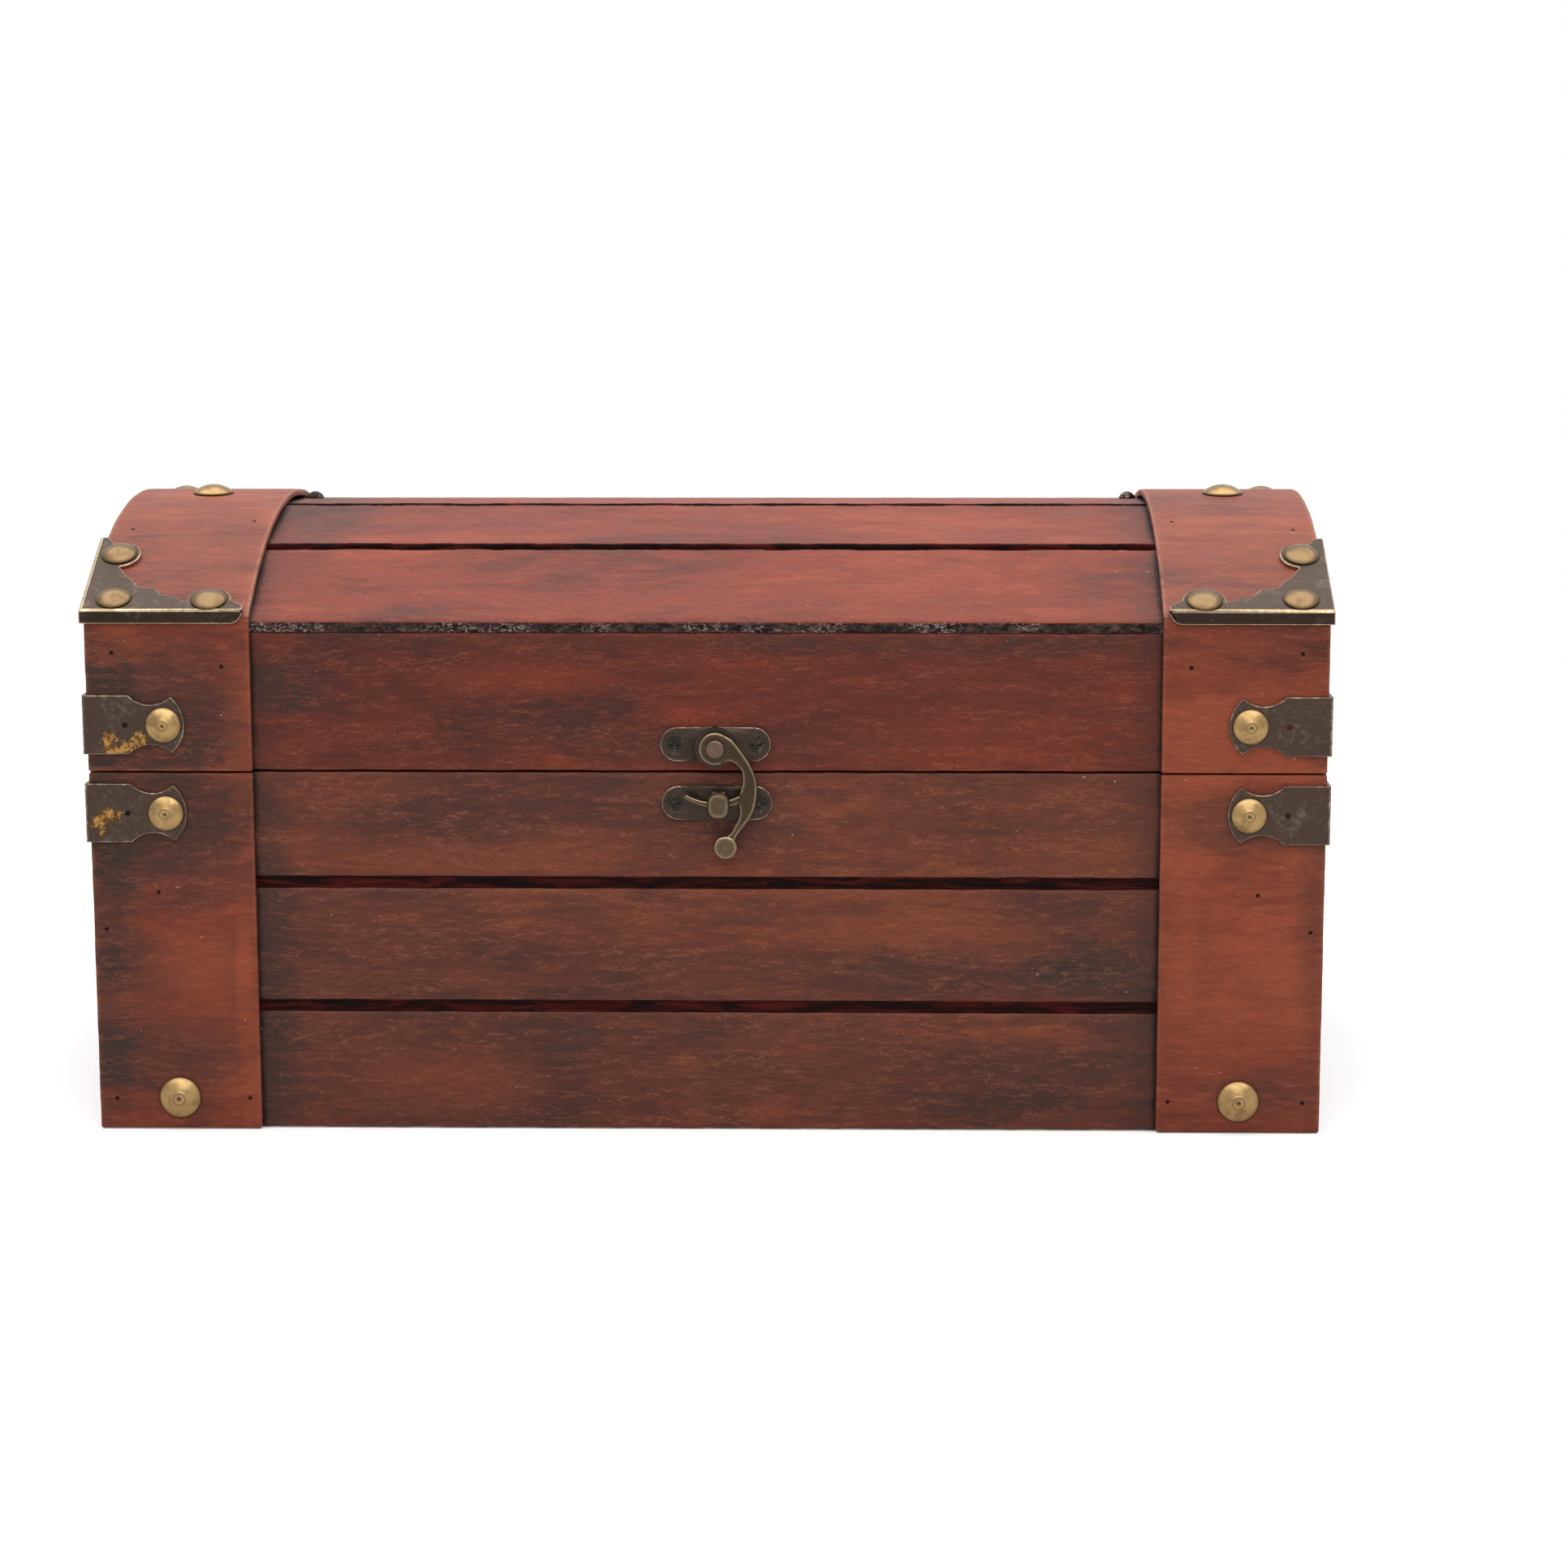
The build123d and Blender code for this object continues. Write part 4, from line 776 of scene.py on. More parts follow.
# %% Lines of the slats
slat_thick = 0.0028
slat_names = ("lid_slat_1", "lid_slat_2", "lid_slat_3", "lid_slat_4", "lid_slat_5")
hair = 0.00005
slat_radius = arch_radius - band_thick - hair
front_angle = -math.asin(plank_face / slat_radius)
groove_angle = 2 * math.asin(groove_width / (2 * slat_radius))
last_share = 0.52  # the fifth slat is about half as wide as the others
slat_angle = (-2 * front_angle - 4 * groove_angle) / (4 + last_share)


def slat_ends(index):
    """Angles of a slat's front and rear edge about the middle of the arch."""
    start = front_angle + index * (slat_angle + groove_angle)
    return start, start + slat_angle if index < 4 else -front_angle


def slat_point(index, place, depth):
    """Point (y, z) at a slat's front (0) or rear (1) edge, some depth below its flat top."""
    ends = [(slat_radius * math.sin(a), arch_centre + slat_radius * math.cos(a)) for a in slat_ends(index)]
    (front_y, front_z), (rear_y, rear_z) = ends
    length = math.hypot(rear_y - front_y, rear_z - front_z)
    y, z = ends[place]
    return y + depth * (rear_z - front_z) / length, z - depth * (rear_y - front_y) / length


def underside(index, y):
    """Height of a slat's underside at a depth y of the chest."""
    front_y, front_z = slat_point(index, 0, slat_thick)
    rear_y, rear_z = slat_point(index, 1, slat_thick)
    return front_z + (rear_z - front_z) * (y - front_y) / (rear_y - front_y)


print("each slat is", round(2000 * slat_radius * math.sin(slat_angle / 2), 1), "mm wide")

# %% Finish of the raw edge: torn, blackened wood with pale splinters
mix = Recipe(bpy.data.materials.new("raw_edge_wood"))
place = mix.along_grain(0.45)
torn = mix.noise(place, 700, 4, 0.7, 0.8)
patch = mix.spread(mix.noise(place, 130, 2, 0.5, 0.3), 0.48, 0.62, 0.1, 0.9)
base = mix.blend(mix.spread(torn, 0.42, 0.70), (0.009, 0.004, 0.004), (0.075, 0.038, 0.033))
base = mix.blend(mix.times(threads(mix, place, 900, 0.030), patch), base, (0.34, 0.25, 0.22))
raw_edge_wood = mix.surface(base, 0.75, torn, 0.9, 0.0004, 0.12)
print("raw edge finish has", len(mix.tree.nodes), "nodes")

# %% Slats
for index, name in enumerate(slat_names):
    corners = [slat_point(index, 0, slat_thick) if index else (-plank_face, underside(0, -plank_face))]
    sides = {0: inside_wood}
    if index < 4:
        corners += [slat_point(index, 1, slat_thick), slat_point(index + 1, 0, slat_thick)]
        corners += [slat_point(index + 1, 0, groove_depth), slat_point(index, 1, groove_depth)]
        sides |= {1: inside_wood, 3: groove_stain_and_shade, 4: groove_stain_and_shade}
    else:
        corners += [(plank_face, underside(index, plank_face))]
        sides[1] = raw_edge_wood
    corners += [slat_point(index, 1, 0), slat_point(index, 0, 0)]
    if index < 4:
        sides[6] = groove_stain_and_shade if index else raw_edge_wood
    else:
        sides[3] = groove_stain_and_shade
    top_fray = np.zeros(len(corners))
    top_fray[-2:] = 0.00035 if index == 0 else 0.00022
    board(
        name, corners, long_span, along_x, slat_wood, "lid", 21 + index, fray=top_fray,
        step=0.0005, sides=sides, worn_edge=0.2, far_corners=index == 0,
    )
print("slats in place:", len(slat_names))

# %% [markdown]
# ## Front, back and ends of the lid
#
# Under the slats the lid is a low frame. Its long boards are cut to the slope of the slat that lies on
# them, and the end boards are cut to the whole fan of slats.

# %% Lid boards
for name, sign, index, seed in (("lid_front_panel", -1, 0, 31), ("lid_back_panel", 1, 4, 32)):
    outer, inner = sign * plank_face, sign * panel_inside
    corners = anticlockwise([
        (outer, lid_bottom), (inner, lid_bottom),
        (inner, underside(index, inner)), (outer, underside(index, outer)),
    ])
    board(
        name, corners, long_span, along_x, lid_plank_wood, "lid", seed, worn_edge=0.1,
        sides={flat_side(corners, inner): inside_wood},
    )

fan = [(-panel_inside, lid_bottom), (panel_inside, lid_bottom), (panel_inside, underside(4, panel_inside))]
for index in range(4, -1, -1):
    fan += [slat_point(index, 1, slat_thick)] if index < 4 else []
    fan += [slat_point(index, 0, slat_thick)] if index > 0 else []
fan += [(-panel_inside, underside(0, -panel_inside))]
for side, span in (("left", (-half_length, -end_inside)), ("right", (end_inside, half_length))):
    board(f"lid_end_{side}", fan, span, along_x, end_wood, "lid", 33, radius=0.0003)
print("the fan of the lid's ends has", len(fan), "corners")

# %% [markdown]
# ## Bands: veneer strips that look like straps
#
# The bands are strips a little under two millimetres thick, glued over the planks. Four stand on the
# body, four on the lid's sides, and two are bent over the arch and mitred into the upright ones. The
# upright ones are carried up Z, with the top of the lid's strips cut to the mitre. The bent ones are
# the same strip with its length turned into an angle.

# %% Upright bands
inner_shoulder = arch_centre + math.sqrt((arch_radius - band_thick) ** 2 - plank_face**2)


def mitred(along, first, second):
    """Outline in (x, y) carried up Z, its top sloped so that the inner face ends at the mitre."""
    depth_share = (half_depth - np.abs(second)) / band_thick
    share_up = (along - lid_bottom) / (shoulder - lid_bottom)
    return first, second, along + share_up * depth_share * (inner_shoulder - shoulder)


def band_outline(x_sign, y_sign):
    """Rectangle of an upright band, seen from above."""
    inner_x, outer_x = x_sign * (half_length - band_width), x_sign * half_length
    inner_y, outer_y = y_sign * plank_face, y_sign * half_depth
    return anticlockwise([(inner_x, inner_y), (outer_x, inner_y), (outer_x, outer_y), (inner_x, outer_y)])


corner_signs = {"front_left": (-1, -1), "front_right": (1, -1), "back_left": (-1, 1), "back_right": (1, 1)}
for seed, (corner, signs) in enumerate(corner_signs.items()):
    outline = band_outline(*signs)
    board(
        f"body_band_{corner}", outline, (0, body_top), along_z, band_wood, "chest", 41 + seed,
        fray=0.0001, end_round=0.0007,
    )
    board(
        f"lid_band_{corner}", outline, (lid_bottom, shoulder), mitred, band_wood, "lid",
        51 + seed, fray=0.0001, worn_ends=0.5,
    )
print("upright bands in place:", 2 * len(corner_signs))

# %% Bent bands
half_arc = arch_radius * math.asin(half_depth / arch_radius)


def over_arch(along, first, second):
    """Outline in (x, height above the arch), bent over it: the angle is the share of the arc that has
    been covered times the angle at which a circle of this height meets the upright band."""
    circle = arch_radius + second
    angle = along / half_arc * np.arcsin((half_depth + second) / circle)
    return first, circle * np.sin(angle), arch_centre + circle * np.cos(angle)


for side, sign, seed in (("left", -1, 61), ("right", 1, 62)):
    low_x, high_x = sorted((sign * (half_length - band_width), sign * half_length))
    outline = [(low_x, -band_thick), (high_x, -band_thick), (high_x, 0), (low_x, 0)]
    board(
        f"lid_band_arch_{side}", outline, (-half_arc, half_arc), over_arch, arch_wood, "lid",
        seed, fray=0.0001, worn_edge=0.6,
    )
print(f"a bent band is {2000 * half_arc:.0f} mm long")

# %% [markdown]
# ## Nails: one profile, spun
#
# A nail is a profile turned about its own axis, so one profile makes every nail of a kind. The dome
# is part of a sphere, with a low ring round a dimple, and the shank ends in a point inside the wood.
# The seats give the place and the direction of each nail. Working out all nails of a group in one
# array keeps a group one piece, as it is in the packed model.

# %% Nail profile
def nail_profile(head_radius, dome, length, ridge=0.00010, dimple=0.00032):
    """Radius and height from the middle of the head to the point of the shank. The dome is a sphere's
    cap less a dimple and plus a ridge, both bells: size * exp(-((r - middle) / width)^2)."""
    r = head_radius * np.concatenate([np.linspace(0, 0.5, 15), np.linspace(0.56, 0.97, 9), [0.99]])
    cap_height = dome - 0.00035
    sphere = (head_radius**2 + cap_height**2) / (2 * cap_height)
    z = dome - sphere + np.sqrt(sphere**2 - r**2)
    z += ridge * np.exp(-(((r - 0.30 * head_radius) / 0.00030) ** 2))
    z -= dimple * np.exp(-((r / 0.00050) ** 2))
    z = np.minimum(z, dome)
    rim = [(head_radius, 0.00030), (head_radius * 0.995, 0.00010), (head_radius * 0.96, 0.0)]
    shank = [(0.0007, 0.0), (0.0007, -0.75 * length), (0.0, -length)]
    return np.concatenate([np.stack([r, z], axis=1), rim, shank])


small_head, large_head, pin_head = (0.0044, 0.0021), (0.0052, 0.0024), (0.0026, 0.0018)
small_nail = nail_profile(*small_head, 0.0064)
bracket_nail = nail_profile(*small_head, 0.0068, ridge=0, dimple=0)
large_nail = nail_profile(*large_head, 0.0056)
apex_nail = nail_profile(*large_head, 0.0042, ridge=0, dimple=0)
slat_pin = nail_profile(*pin_head, 0.0022, ridge=0, dimple=0)
print("nail profiles have", len(small_nail), "points")

# %% Spun shapes
points_round = 40


def spun(name, groups, material, body, around=points_round, uneven=0.0):
    """Shapes turned about their own axes: place + r cos(a) u + r sin(a) v + z n for every seat, with
    u and v square to the seat's direction n. `uneven` makes r differ round the axis by up to that
    share. Carries `reach`, the share r / widest r."""
    all_points, all_faces, all_reach, count = [], [], [], 0
    turn = np.linspace(0, 2 * np.pi, around, endpoint=False)
    for profile, places, directions in groups:
        places, n = np.atleast_2d(places), np.atleast_2d(directions)
        rings_count = len(profile) - 2
        u = np.cross(n, np.where(np.abs(n[:, :1]) > 0.9, [[0, 0, 1]], [[1, 0, 0]]))
        u /= np.linalg.norm(u, axis=1, keepdims=True)
        v = np.cross(n, u)
        lobes = 0.5 + 0.3 * np.sin(2 * turn) + 0.2 * np.sin(5 * turn)
        circle = np.cos(turn)[None, :, None] * u[:, None] + np.sin(turn)[None, :, None] * v[:, None]
        circle = circle * (1 - uneven * lobes)[None, :, None]
        r, z = profile[1:-1, 0], profile[1:-1, 1]
        rings = places[:, None, None] + r[None, :, None, None] * circle[:, None]
        rings = (rings + z[None, :, None, None] * n[:, None, None]).reshape(len(n), -1, 3)
        top, point = places + profile[0, 1] * n, places + profile[-1, 1] * n
        points = np.concatenate([rings, top[:, None], point[:, None]], axis=1)
        column = np.arange(around)
        after, last = (column + 1) % around, (rings_count - 1) * around
        quads = loop_quads(rings_count, around)[:, ::-1]
        crown = np.stack([column, after, np.full(around, last + around)], axis=1)
        tip = np.stack([last + after, last + column, np.full(around, last + around + 1)], axis=1)
        starts = count + points.shape[1] * np.arange(len(n))
        for part in (quads, crown, tip):
            all_faces += (part[None] + starts[:, None, None]).reshape(-1, part.shape[1]).tolist()
        reach = np.concatenate([np.repeat(r / r.max(), around), [0, 1]])
        all_reach.append(np.tile(reach, len(n)))
        all_points.append(points.reshape(-1, 3))
        count += points.shape[0] * points.shape[1]
    numbers = {"reach": np.concatenate(all_reach)}
    return mesh_piece(name, np.concatenate(all_points), all_faces, [material], body, numbers, sharp=60)


print("points round a nail:", points_round)

# %% Seats on the straps and the feet of the bands
four = np.array(list(corner_signs.values()), float)
sheet = 0.0009
nail_inset = 0.0188


def rows(x, y, z):
    """Places or directions from three columns; a single number fills its column."""
    return np.column_stack(np.broadcast_arrays(x, y, z)).astype(float)


def strap_seats(height):
    """Two seats on each strap: one on its front or back leg, one on its end leg."""
    x_sign, y_sign = four.T
    flat = rows(x_sign * (half_length - nail_inset), y_sign * (half_depth + sheet), height)
    ends = rows(x_sign * (half_length + sheet), y_sign * (half_depth - nail_inset), height)
    return np.concatenate([flat, ends]), np.concatenate([rows(0, y_sign, 0), rows(x_sign, 0, 0)])


seam = (body_top + lid_bottom) / 2
below_seam, above_seam = 0.010, 0.0117
foot_x, foot_z = 0.130, 0.008
foot_seats = rows(four[:, 0] * foot_x, four[:, 1] * half_depth, foot_z), rows(0, four[:, 1], 0)
print("strap nails on the body:", len(strap_seats(seam - below_seam)[0]))

# %% [markdown]
# A corner bracket is flat where it lies on the arch, so it touches the arch along one line and stands
# off it at its fold. Its three nails sit on that plane. The places below are shares of its leg and of
# its depth, counted from the corner.

# %% Seats on the brackets
touch_run = 0.017
bracket_leg, bracket_depth = 0.0386, 0.0315
touch_angle = -math.asin(half_depth / arch_radius) + touch_run / arch_radius
touch_y = (arch_radius + hair) * math.sin(touch_angle)
touch_z = arch_centre + (arch_radius + hair) * math.cos(touch_angle)
fold_z = touch_z + (half_depth + touch_y) * math.tan(touch_angle)
shares = np.array([(0.179, 0.140), (0.780, 0.120), (0.132, 0.755)])
inward, backward = (shares * (bracket_leg, bracket_depth)).T
slope, rise = math.cos(touch_angle), -math.sin(touch_angle)
seat_x = np.tile(half_length - inward, 4)
seat_y = np.tile(half_depth - backward * slope + sheet * rise, 4)
seat_z = np.tile(fold_z + backward * rise + sheet * slope, 4)
x_signs, y_signs = np.repeat(four, 3, axis=0).T
bracket_seats = rows(x_signs * seat_x, y_signs * seat_y, seat_z), rows(0, y_signs * rise, slope)
print("bracket nails:", len(bracket_seats[0]))

# %% Seats on the arch
two = np.array([-1.0, 1.0])


def arch_seats(x, share):
    """Two seats on the arch, at a share of the turn from its top to its shoulder."""
    angle = share * math.asin(half_depth / arch_radius)
    normal = rows(0 * two, math.sin(angle), math.cos(angle))
    return rows(two * x, 0, arch_centre) + arch_radius * normal, normal


pin_y, pin_inset = 0.019, 0.0029
pin_angle = sum(slat_ends(2)) / 2
pin_front, pin_rear = slat_point(2, 0, 0), slat_point(2, 1, 0)
pin_z = pin_front[1] + (pin_y - pin_front[0]) / (pin_rear[0] - pin_front[0]) * (pin_rear[1] - pin_front[1])
pin_x = half_length - band_width - pin_inset
pin_seats = rows(two * pin_x, pin_y, pin_z), rows(0 * two, math.sin(pin_angle), math.cos(pin_angle))
print(f"pins stand {1000 * pin_z:.1f} mm high")

# %% Nails
nail_groups = {
    "body_strap_nails": ("chest", spun_brass, [(small_nail, *strap_seats(seam - below_seam))]),
    "lid_strap_nails": ("lid", spun_brass, [(small_nail, *strap_seats(seam + above_seam))]),
    "bracket_nails": ("lid", brass_with_painted_shade, [(bracket_nail, *bracket_seats)]),
    "body_band_nails": ("chest", spun_brass, [(large_nail, *foot_seats)]),
    "arch_band_nails": ("lid", arch_brass, [
        (apex_nail, *arch_seats(x=0.130, share=-0.054)), (bracket_nail, *arch_seats(x=0.1435, share=0.406)),
    ]),
    "top_slat_pins": ("lid", lump_lacquer_painted_glints, [(slat_pin, *pin_seats)]),
}
for name, (body, finish, groups) in nail_groups.items():
    uneven = 0.5 if finish is lump_lacquer_painted_glints else 0.0
    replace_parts(spun(name + "_brass", groups, finish, body, uneven=uneven), name)
print("nail groups:", len(nail_groups))

# %% [markdown]
# ## Brads
#
# Between the nails the bands are held by headless brads. Each shows as a small dark spot, sunk by a
# hair and filled with stain. A flat spun disc just proud of the wood gives that spot.

# %% Brads
brad_profile = np.array([
    (0, 0.00003), (0.0004, 0.00003), (0.00052, 0.00001), (0.0006, -0.0001), (0.0006, -0.0048), (0, -0.005),
])
body_brads = [(0.080, 0.565), (0.405, 0.668), (0.108, 0.086), (0.930, 0.088)]
lid_brads = [(0.165, 0.770), (0.830, 0.680)]
arch_brads = [(0.140, 0.490), (0.880, 0.420)]


def upright_brads(shares, bottom, top):
    """Seats on the upright bands: share of the width from the end, share of the way up."""
    inset, share_up = np.array(shares).T
    x = np.repeat(four[:, 0], len(inset)) * np.tile(half_length - inset * band_width, 4)
    y_sign = np.repeat(four[:, 1], len(inset))
    z = np.tile(bottom + share_up * (top - bottom), 4)
    return rows(x, y_sign * half_depth, z), rows(0, y_sign, 0)


inset, turn_share = np.array(arch_brads).T
brad_x = np.repeat(four[:, 0], 2) * np.tile(half_length - inset * band_width, 4)
brad_angle = np.repeat(four[:, 1], 2) * np.tile(turn_share * math.asin(half_depth / arch_radius), 4)
brad_normal = rows(0, np.sin(brad_angle), np.cos(brad_angle))
brad_place = rows(brad_x, 0, arch_centre) + arch_radius * brad_normal
body_group = (brad_profile, *upright_brads(body_brads, 0, body_top))
lid_group = (brad_profile, *upright_brads(lid_brads, lid_bottom, shoulder))
for name, body, groups in (
    ("body_brads", "chest", [body_group]),
    ("lid_brads", "lid", [lid_group, (brad_profile, brad_place, brad_normal)]),
):
    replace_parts(spun(name + "_dark", groups, brad_steel, body, around=12), name)
print("brads on the bent bands:", len(brad_place))

# %% [markdown]
# ## Sheet metal with a worn rim
#
# Stamped sheet is flat, but its edge is what catches the eye: the patina is rubbed off there and the corner
# is slightly round. The packed shapes are right, so each piece is a merged copy of one, with a bevel whose
# faces take a brighter metal. The bevel is real geometry, not an edge painted by a pointiness trick.

# %% Widths of a bevel
tiny_edge, long_edge, wide_face, tiny_face = 0.0003, 0.008, 60e-6, 0.3e-6


def read_back(collection, name, width=1, kind=float):
    """One property of all items of a mesh collection as an array."""
    values = np.empty(len(collection) * width, kind)
    collection.foreach_get(name, values)
    return values.reshape(-1, width) if width > 1 else values


def edge_sizes(mesh, rim_width, fold_width, calm):
    """Bevel width of every edge. Each edge of a closed mesh lies in two face corners, so sorting the
    corners by edge gives the two faces beside it. Edges of less than 40 degrees, tiny ones (the rims of
    pilot holes) and those inside the calm disc (x, z, radius, y) stay sharp; a fold, which is long and
    lies between two wide faces, gets its own width."""
    edge_of_corner = read_back(mesh.loops, "edge_index", kind=np.int32)
    sides = read_back(mesh.polygons, "loop_total", kind=np.int32)
    face_of_corner = np.repeat(np.arange(len(sides)), sides)
    first, second = face_of_corner[np.argsort(edge_of_corner, kind="stable")].reshape(-1, 2).T
    normals, centres = read_back(mesh.polygons, "normal", 3), read_back(mesh.polygons, "center", 3)
    areas = read_back(mesh.polygons, "area")
    ends = read_back(mesh.vertices, "co", 3)[read_back(mesh.edges, "vertices", 2, np.int32)]
    lengths, middles = np.linalg.norm(ends[:, 1] - ends[:, 0], axis=1), ends.mean(axis=1)
    bent = (normals[first] * normals[second]).sum(axis=1) < math.cos(math.radians(40))
    sizes = np.where(bent & (lengths > tiny_edge), rim_width, 0)
    sticks_out = ((centres[second] - centres[first]) * normals[first]).sum(axis=1) < 0
    wide = np.minimum(areas[first], areas[second]) > wide_face
    sizes = np.where(bent & sticks_out & wide & (lengths > long_edge), fold_width, sizes)
    return np.where(in_calm(middles, calm), 0, sizes) if calm else sizes


def in_calm(places, calm):
    """Which places lie in a calm disc round (x, z) and behind its y."""
    x, z, radius, y = calm
    return (np.hypot(places[:, 0] - x, places[:, 2] - z) < radius) & (places[:, 1] > y)


print("edges stay sharp up to", 1000 * tiny_edge, "mm of length")

# %% Copies with a rim
usual_rim = 0.00022


def rimmed_copy(node, body, metal, rim, flats, width=usual_rim, segments=2, fold=None, calm=None,
                other=None):
    """Merged copy of a packed piece with a bevel. Faces that look along one of the flats, give or take
    12 degrees, keep the patina; edges and the bevel take the rim's metal. Nothing is rubbed in the calm
    disc. `other` is a metal of their own for the flat faces that pass a test on normals and centres."""
    mesh = nodes[node].data.copy()
    mesh.name = node + "_metal"
    shape = bmesh.new()
    shape.from_mesh(mesh)
    bmesh.ops.remove_doubles(shape, verts=shape.verts, dist=1e-6)
    bmesh.ops.dissolve_limit(shape, angle_limit=math.radians(1), verts=shape.verts, edges=shape.edges)
    shape.to_mesh(mesh)
    shape.free()
    mesh.materials.clear()
    for finish in (metal, rim, other[0] if other else metal):
        mesh.materials.append(finish)
    normals, centres = read_back(mesh.polygons, "normal", 3), read_back(mesh.polygons, "center", 3)
    flat = np.abs(normals @ np.array(flats, float).T).max(axis=1) > math.cos(math.radians(12))
    flat |= read_back(mesh.polygons, "area") < tiny_face
    if calm:
        flat |= in_calm(centres, calm)
    chosen = np.where(other[1](normals, centres), 2, 0) if other else 0
    mesh.polygons.foreach_set("material_index", np.where(flat, chosen, 1).astype(np.int32))
    fold = fold or width
    sizes = edge_sizes(mesh, width, fold, calm)
    weights = mesh.attributes.new("bevel_weight_edge", "FLOAT", "EDGE")
    weights.data.foreach_set("value", (sizes / fold).astype(np.float32))
    mesh.shade_smooth()
    mesh.set_sharp_from_angle(angle=math.radians(35))
    piece = put_on(mesh.name, mesh, body)
    bevel = piece.modifiers.new("rubbed_edge", "BEVEL")
    bevel.width, bevel.segments, bevel.material = fold, segments, 1
    bevel.limit_method = "WEIGHT"
    bevel.harden_normals, bevel.use_clamp_overlap = True, False
    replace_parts(piece, node)


print("usual rim:", 1000 * usual_rim, "mm")

# %% Corner fittings
front_flat, end_flat = (0, 1, 0), (1, 0, 0)
# the brackets' upright faces take the darker bronze as painted shade
shaded_flange = (flange_painted_shade_bronze, lambda normals, centres: np.abs(normals[:, 2]) < 0.2)
for corner, (x_sign, y_sign) in corner_signs.items():
    bracket_flats = (front_flat, end_flat, (0, y_sign * rise, slope))
    # the brackets' bevels take the bright metal: rubbed rims, and a painted highlight on the fold
    rimmed_copy(
        f"corner_bracket_{corner}", "lid", bracket_bronze, rim_and_fold_highlight_bronze, bracket_flats,
        segments=5, fold=0.0007, other=shaded_flange,
    )
    for part, body in (("lid", "lid"), ("body", "chest")):
        rimmed_copy(
            f"{part}_strap_{corner}", body, strap_bronze, rim_bronze, (front_flat, end_flat),
        )
print("corner fittings copied:", 3 * len(corner_signs))

# %% Copies of the latch plates and hinge leaves
flat = (front_flat,)
pivot_low, pivot_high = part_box("latch_rivet")
keeper_low, keeper_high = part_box("keeper")
pivot_x, pivot_z = (pivot_low.x + pivot_high.x) / 2, (pivot_low.z + pivot_high.z) / 2
keeper_z = (keeper_low.z + keeper_high.z) / 2
plate_front = -plank_face - 0.0037
rimmed_copy(
    "latch_plate", "lid", latch_bronze, rim_bronze, flat, 0.00032, 3,
    calm=(pivot_x, pivot_z, 0.0052, -1),
)
rimmed_copy(
    "keeper", "chest", latch_bronze, rim_bronze, flat, 0.00032, 3,
    calm=(pivot_x + 0.00075, keeper_z, 0.0043, plate_front),
    other=(arm_bronze, lambda normals, centres: centres[:, 1] < plate_front),
)
rimmed_copy("latch_rivet", "lid", rivet_bronze, rim_bronze, flat, 0.00010)
for side in ("left", "right"):
    for part, body in (("body", "chest"), ("lid", "lid")):
        leaf = f"hinge_{side}_{part}_leaf"
        rimmed_copy(leaf, body, hinge_bronze, rim_bronze, flat, 0.00012)
print(f"the rivet sits {1000 * pivot_z:.1f} mm high")

# %% [markdown]
# ## The latch arm: four cast shapes in one
#
# The arm is a flat casting, polished by fingers along all its edges. A bevel on its packed outline
# tears where the outline turns tightly. So it is made of four closed shapes that run into each other:
# a ring round the rivet, a curved bar, the claw that reaches under the keeper's hook, and the knob.
# Each has the same round edge, and its points carry `wear` there, so the brightness fades inwards.

# %% Lines of the arm, in millimetres from the rivet
arm_low, arm_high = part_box("latch_arm")
knob_proud = 0.0004
arm_face = arm_low.y + knob_proud
arm_thick = 1000 * (arm_high.y - arm_face)
quarter = np.linspace(0, np.pi / 2, 6)
rim_wear = np.array([0.25, 0.45, 0.8, 1.0, 0.75, 0.35])
bar_outer = (
    (2.2, 3.35), (4.18, 2.1), (5.95, -0.1), (8.3, -3.6), (9.75, -7.3), (10.05, -10.6), (9.4, -14.6),
    (8.1, -17.3), (6.3, -19.7), (5.0, -21.6), (4.6, -23.3),
)
bar_inner = (
    (-0.6, -3.2), (1.6, -3.5), (3.2, -2.95), (5.1, -3.75), (6.5, -5.7), (6.55, -8.7), (5.6, -12.2),
    (5.9, -16.0), (4.7, -18.8), (3.6, -20.7), (1.4, -22.4),
)
knob_place = (2.4, -24.2)
print(f"the arm is {arm_thick:.2f} mm thick")

# %% Smooth lines and round sides
def through(points, count):
    """Smooth line through points, by one cubic between each two, b and c, that looks at a before them
    and d after: 0.5 (2 b + (c - a) t + (2 a - 5 b + 4 c - d) t^2 + (3 b - a - 3 c + d) t^3)."""
    points = np.array(points, float)
    points = np.concatenate([2 * points[:1] - points[1:2], points, 2 * points[-1:] - points[-2:-1]])
    place = np.linspace(0, len(points) - 3, count)
    gap = np.minimum(place.astype(int), len(points) - 4)
    t = (place - gap)[:, None]
    a, b, c, d = (points[gap + k] for k in range(4))
    return 0.5 * (2 * b + (c - a) * t + (2 * a - 5 * b + 4 * c - d) * t**2 + (3 * b - a - 3 * c + d) * t**3)


def round_side(rounding, rim, shine=0.0, thick=arm_thick):
    """Half a section, from back to front: inset from the edge, depth behind the face, and wear. Both
    corners are quarter circles: inset r (1 - cos t), depth r (1 - sin t). `shine` is the face's wear."""
    inset, depth = rounding * (1 - np.cos(quarter)), rounding * (1 - np.sin(quarter))
    insets = np.concatenate([inset[::-1], inset, [rounding + rim]])
    depths = np.concatenate([thick - depth[::-1], depth, [0]])
    return insets, depths, np.concatenate([np.zeros(6), np.maximum(rim_wear, shine), [shine]])


print("a round side has", len(round_side(0.45, 0.35)[0]), "points")

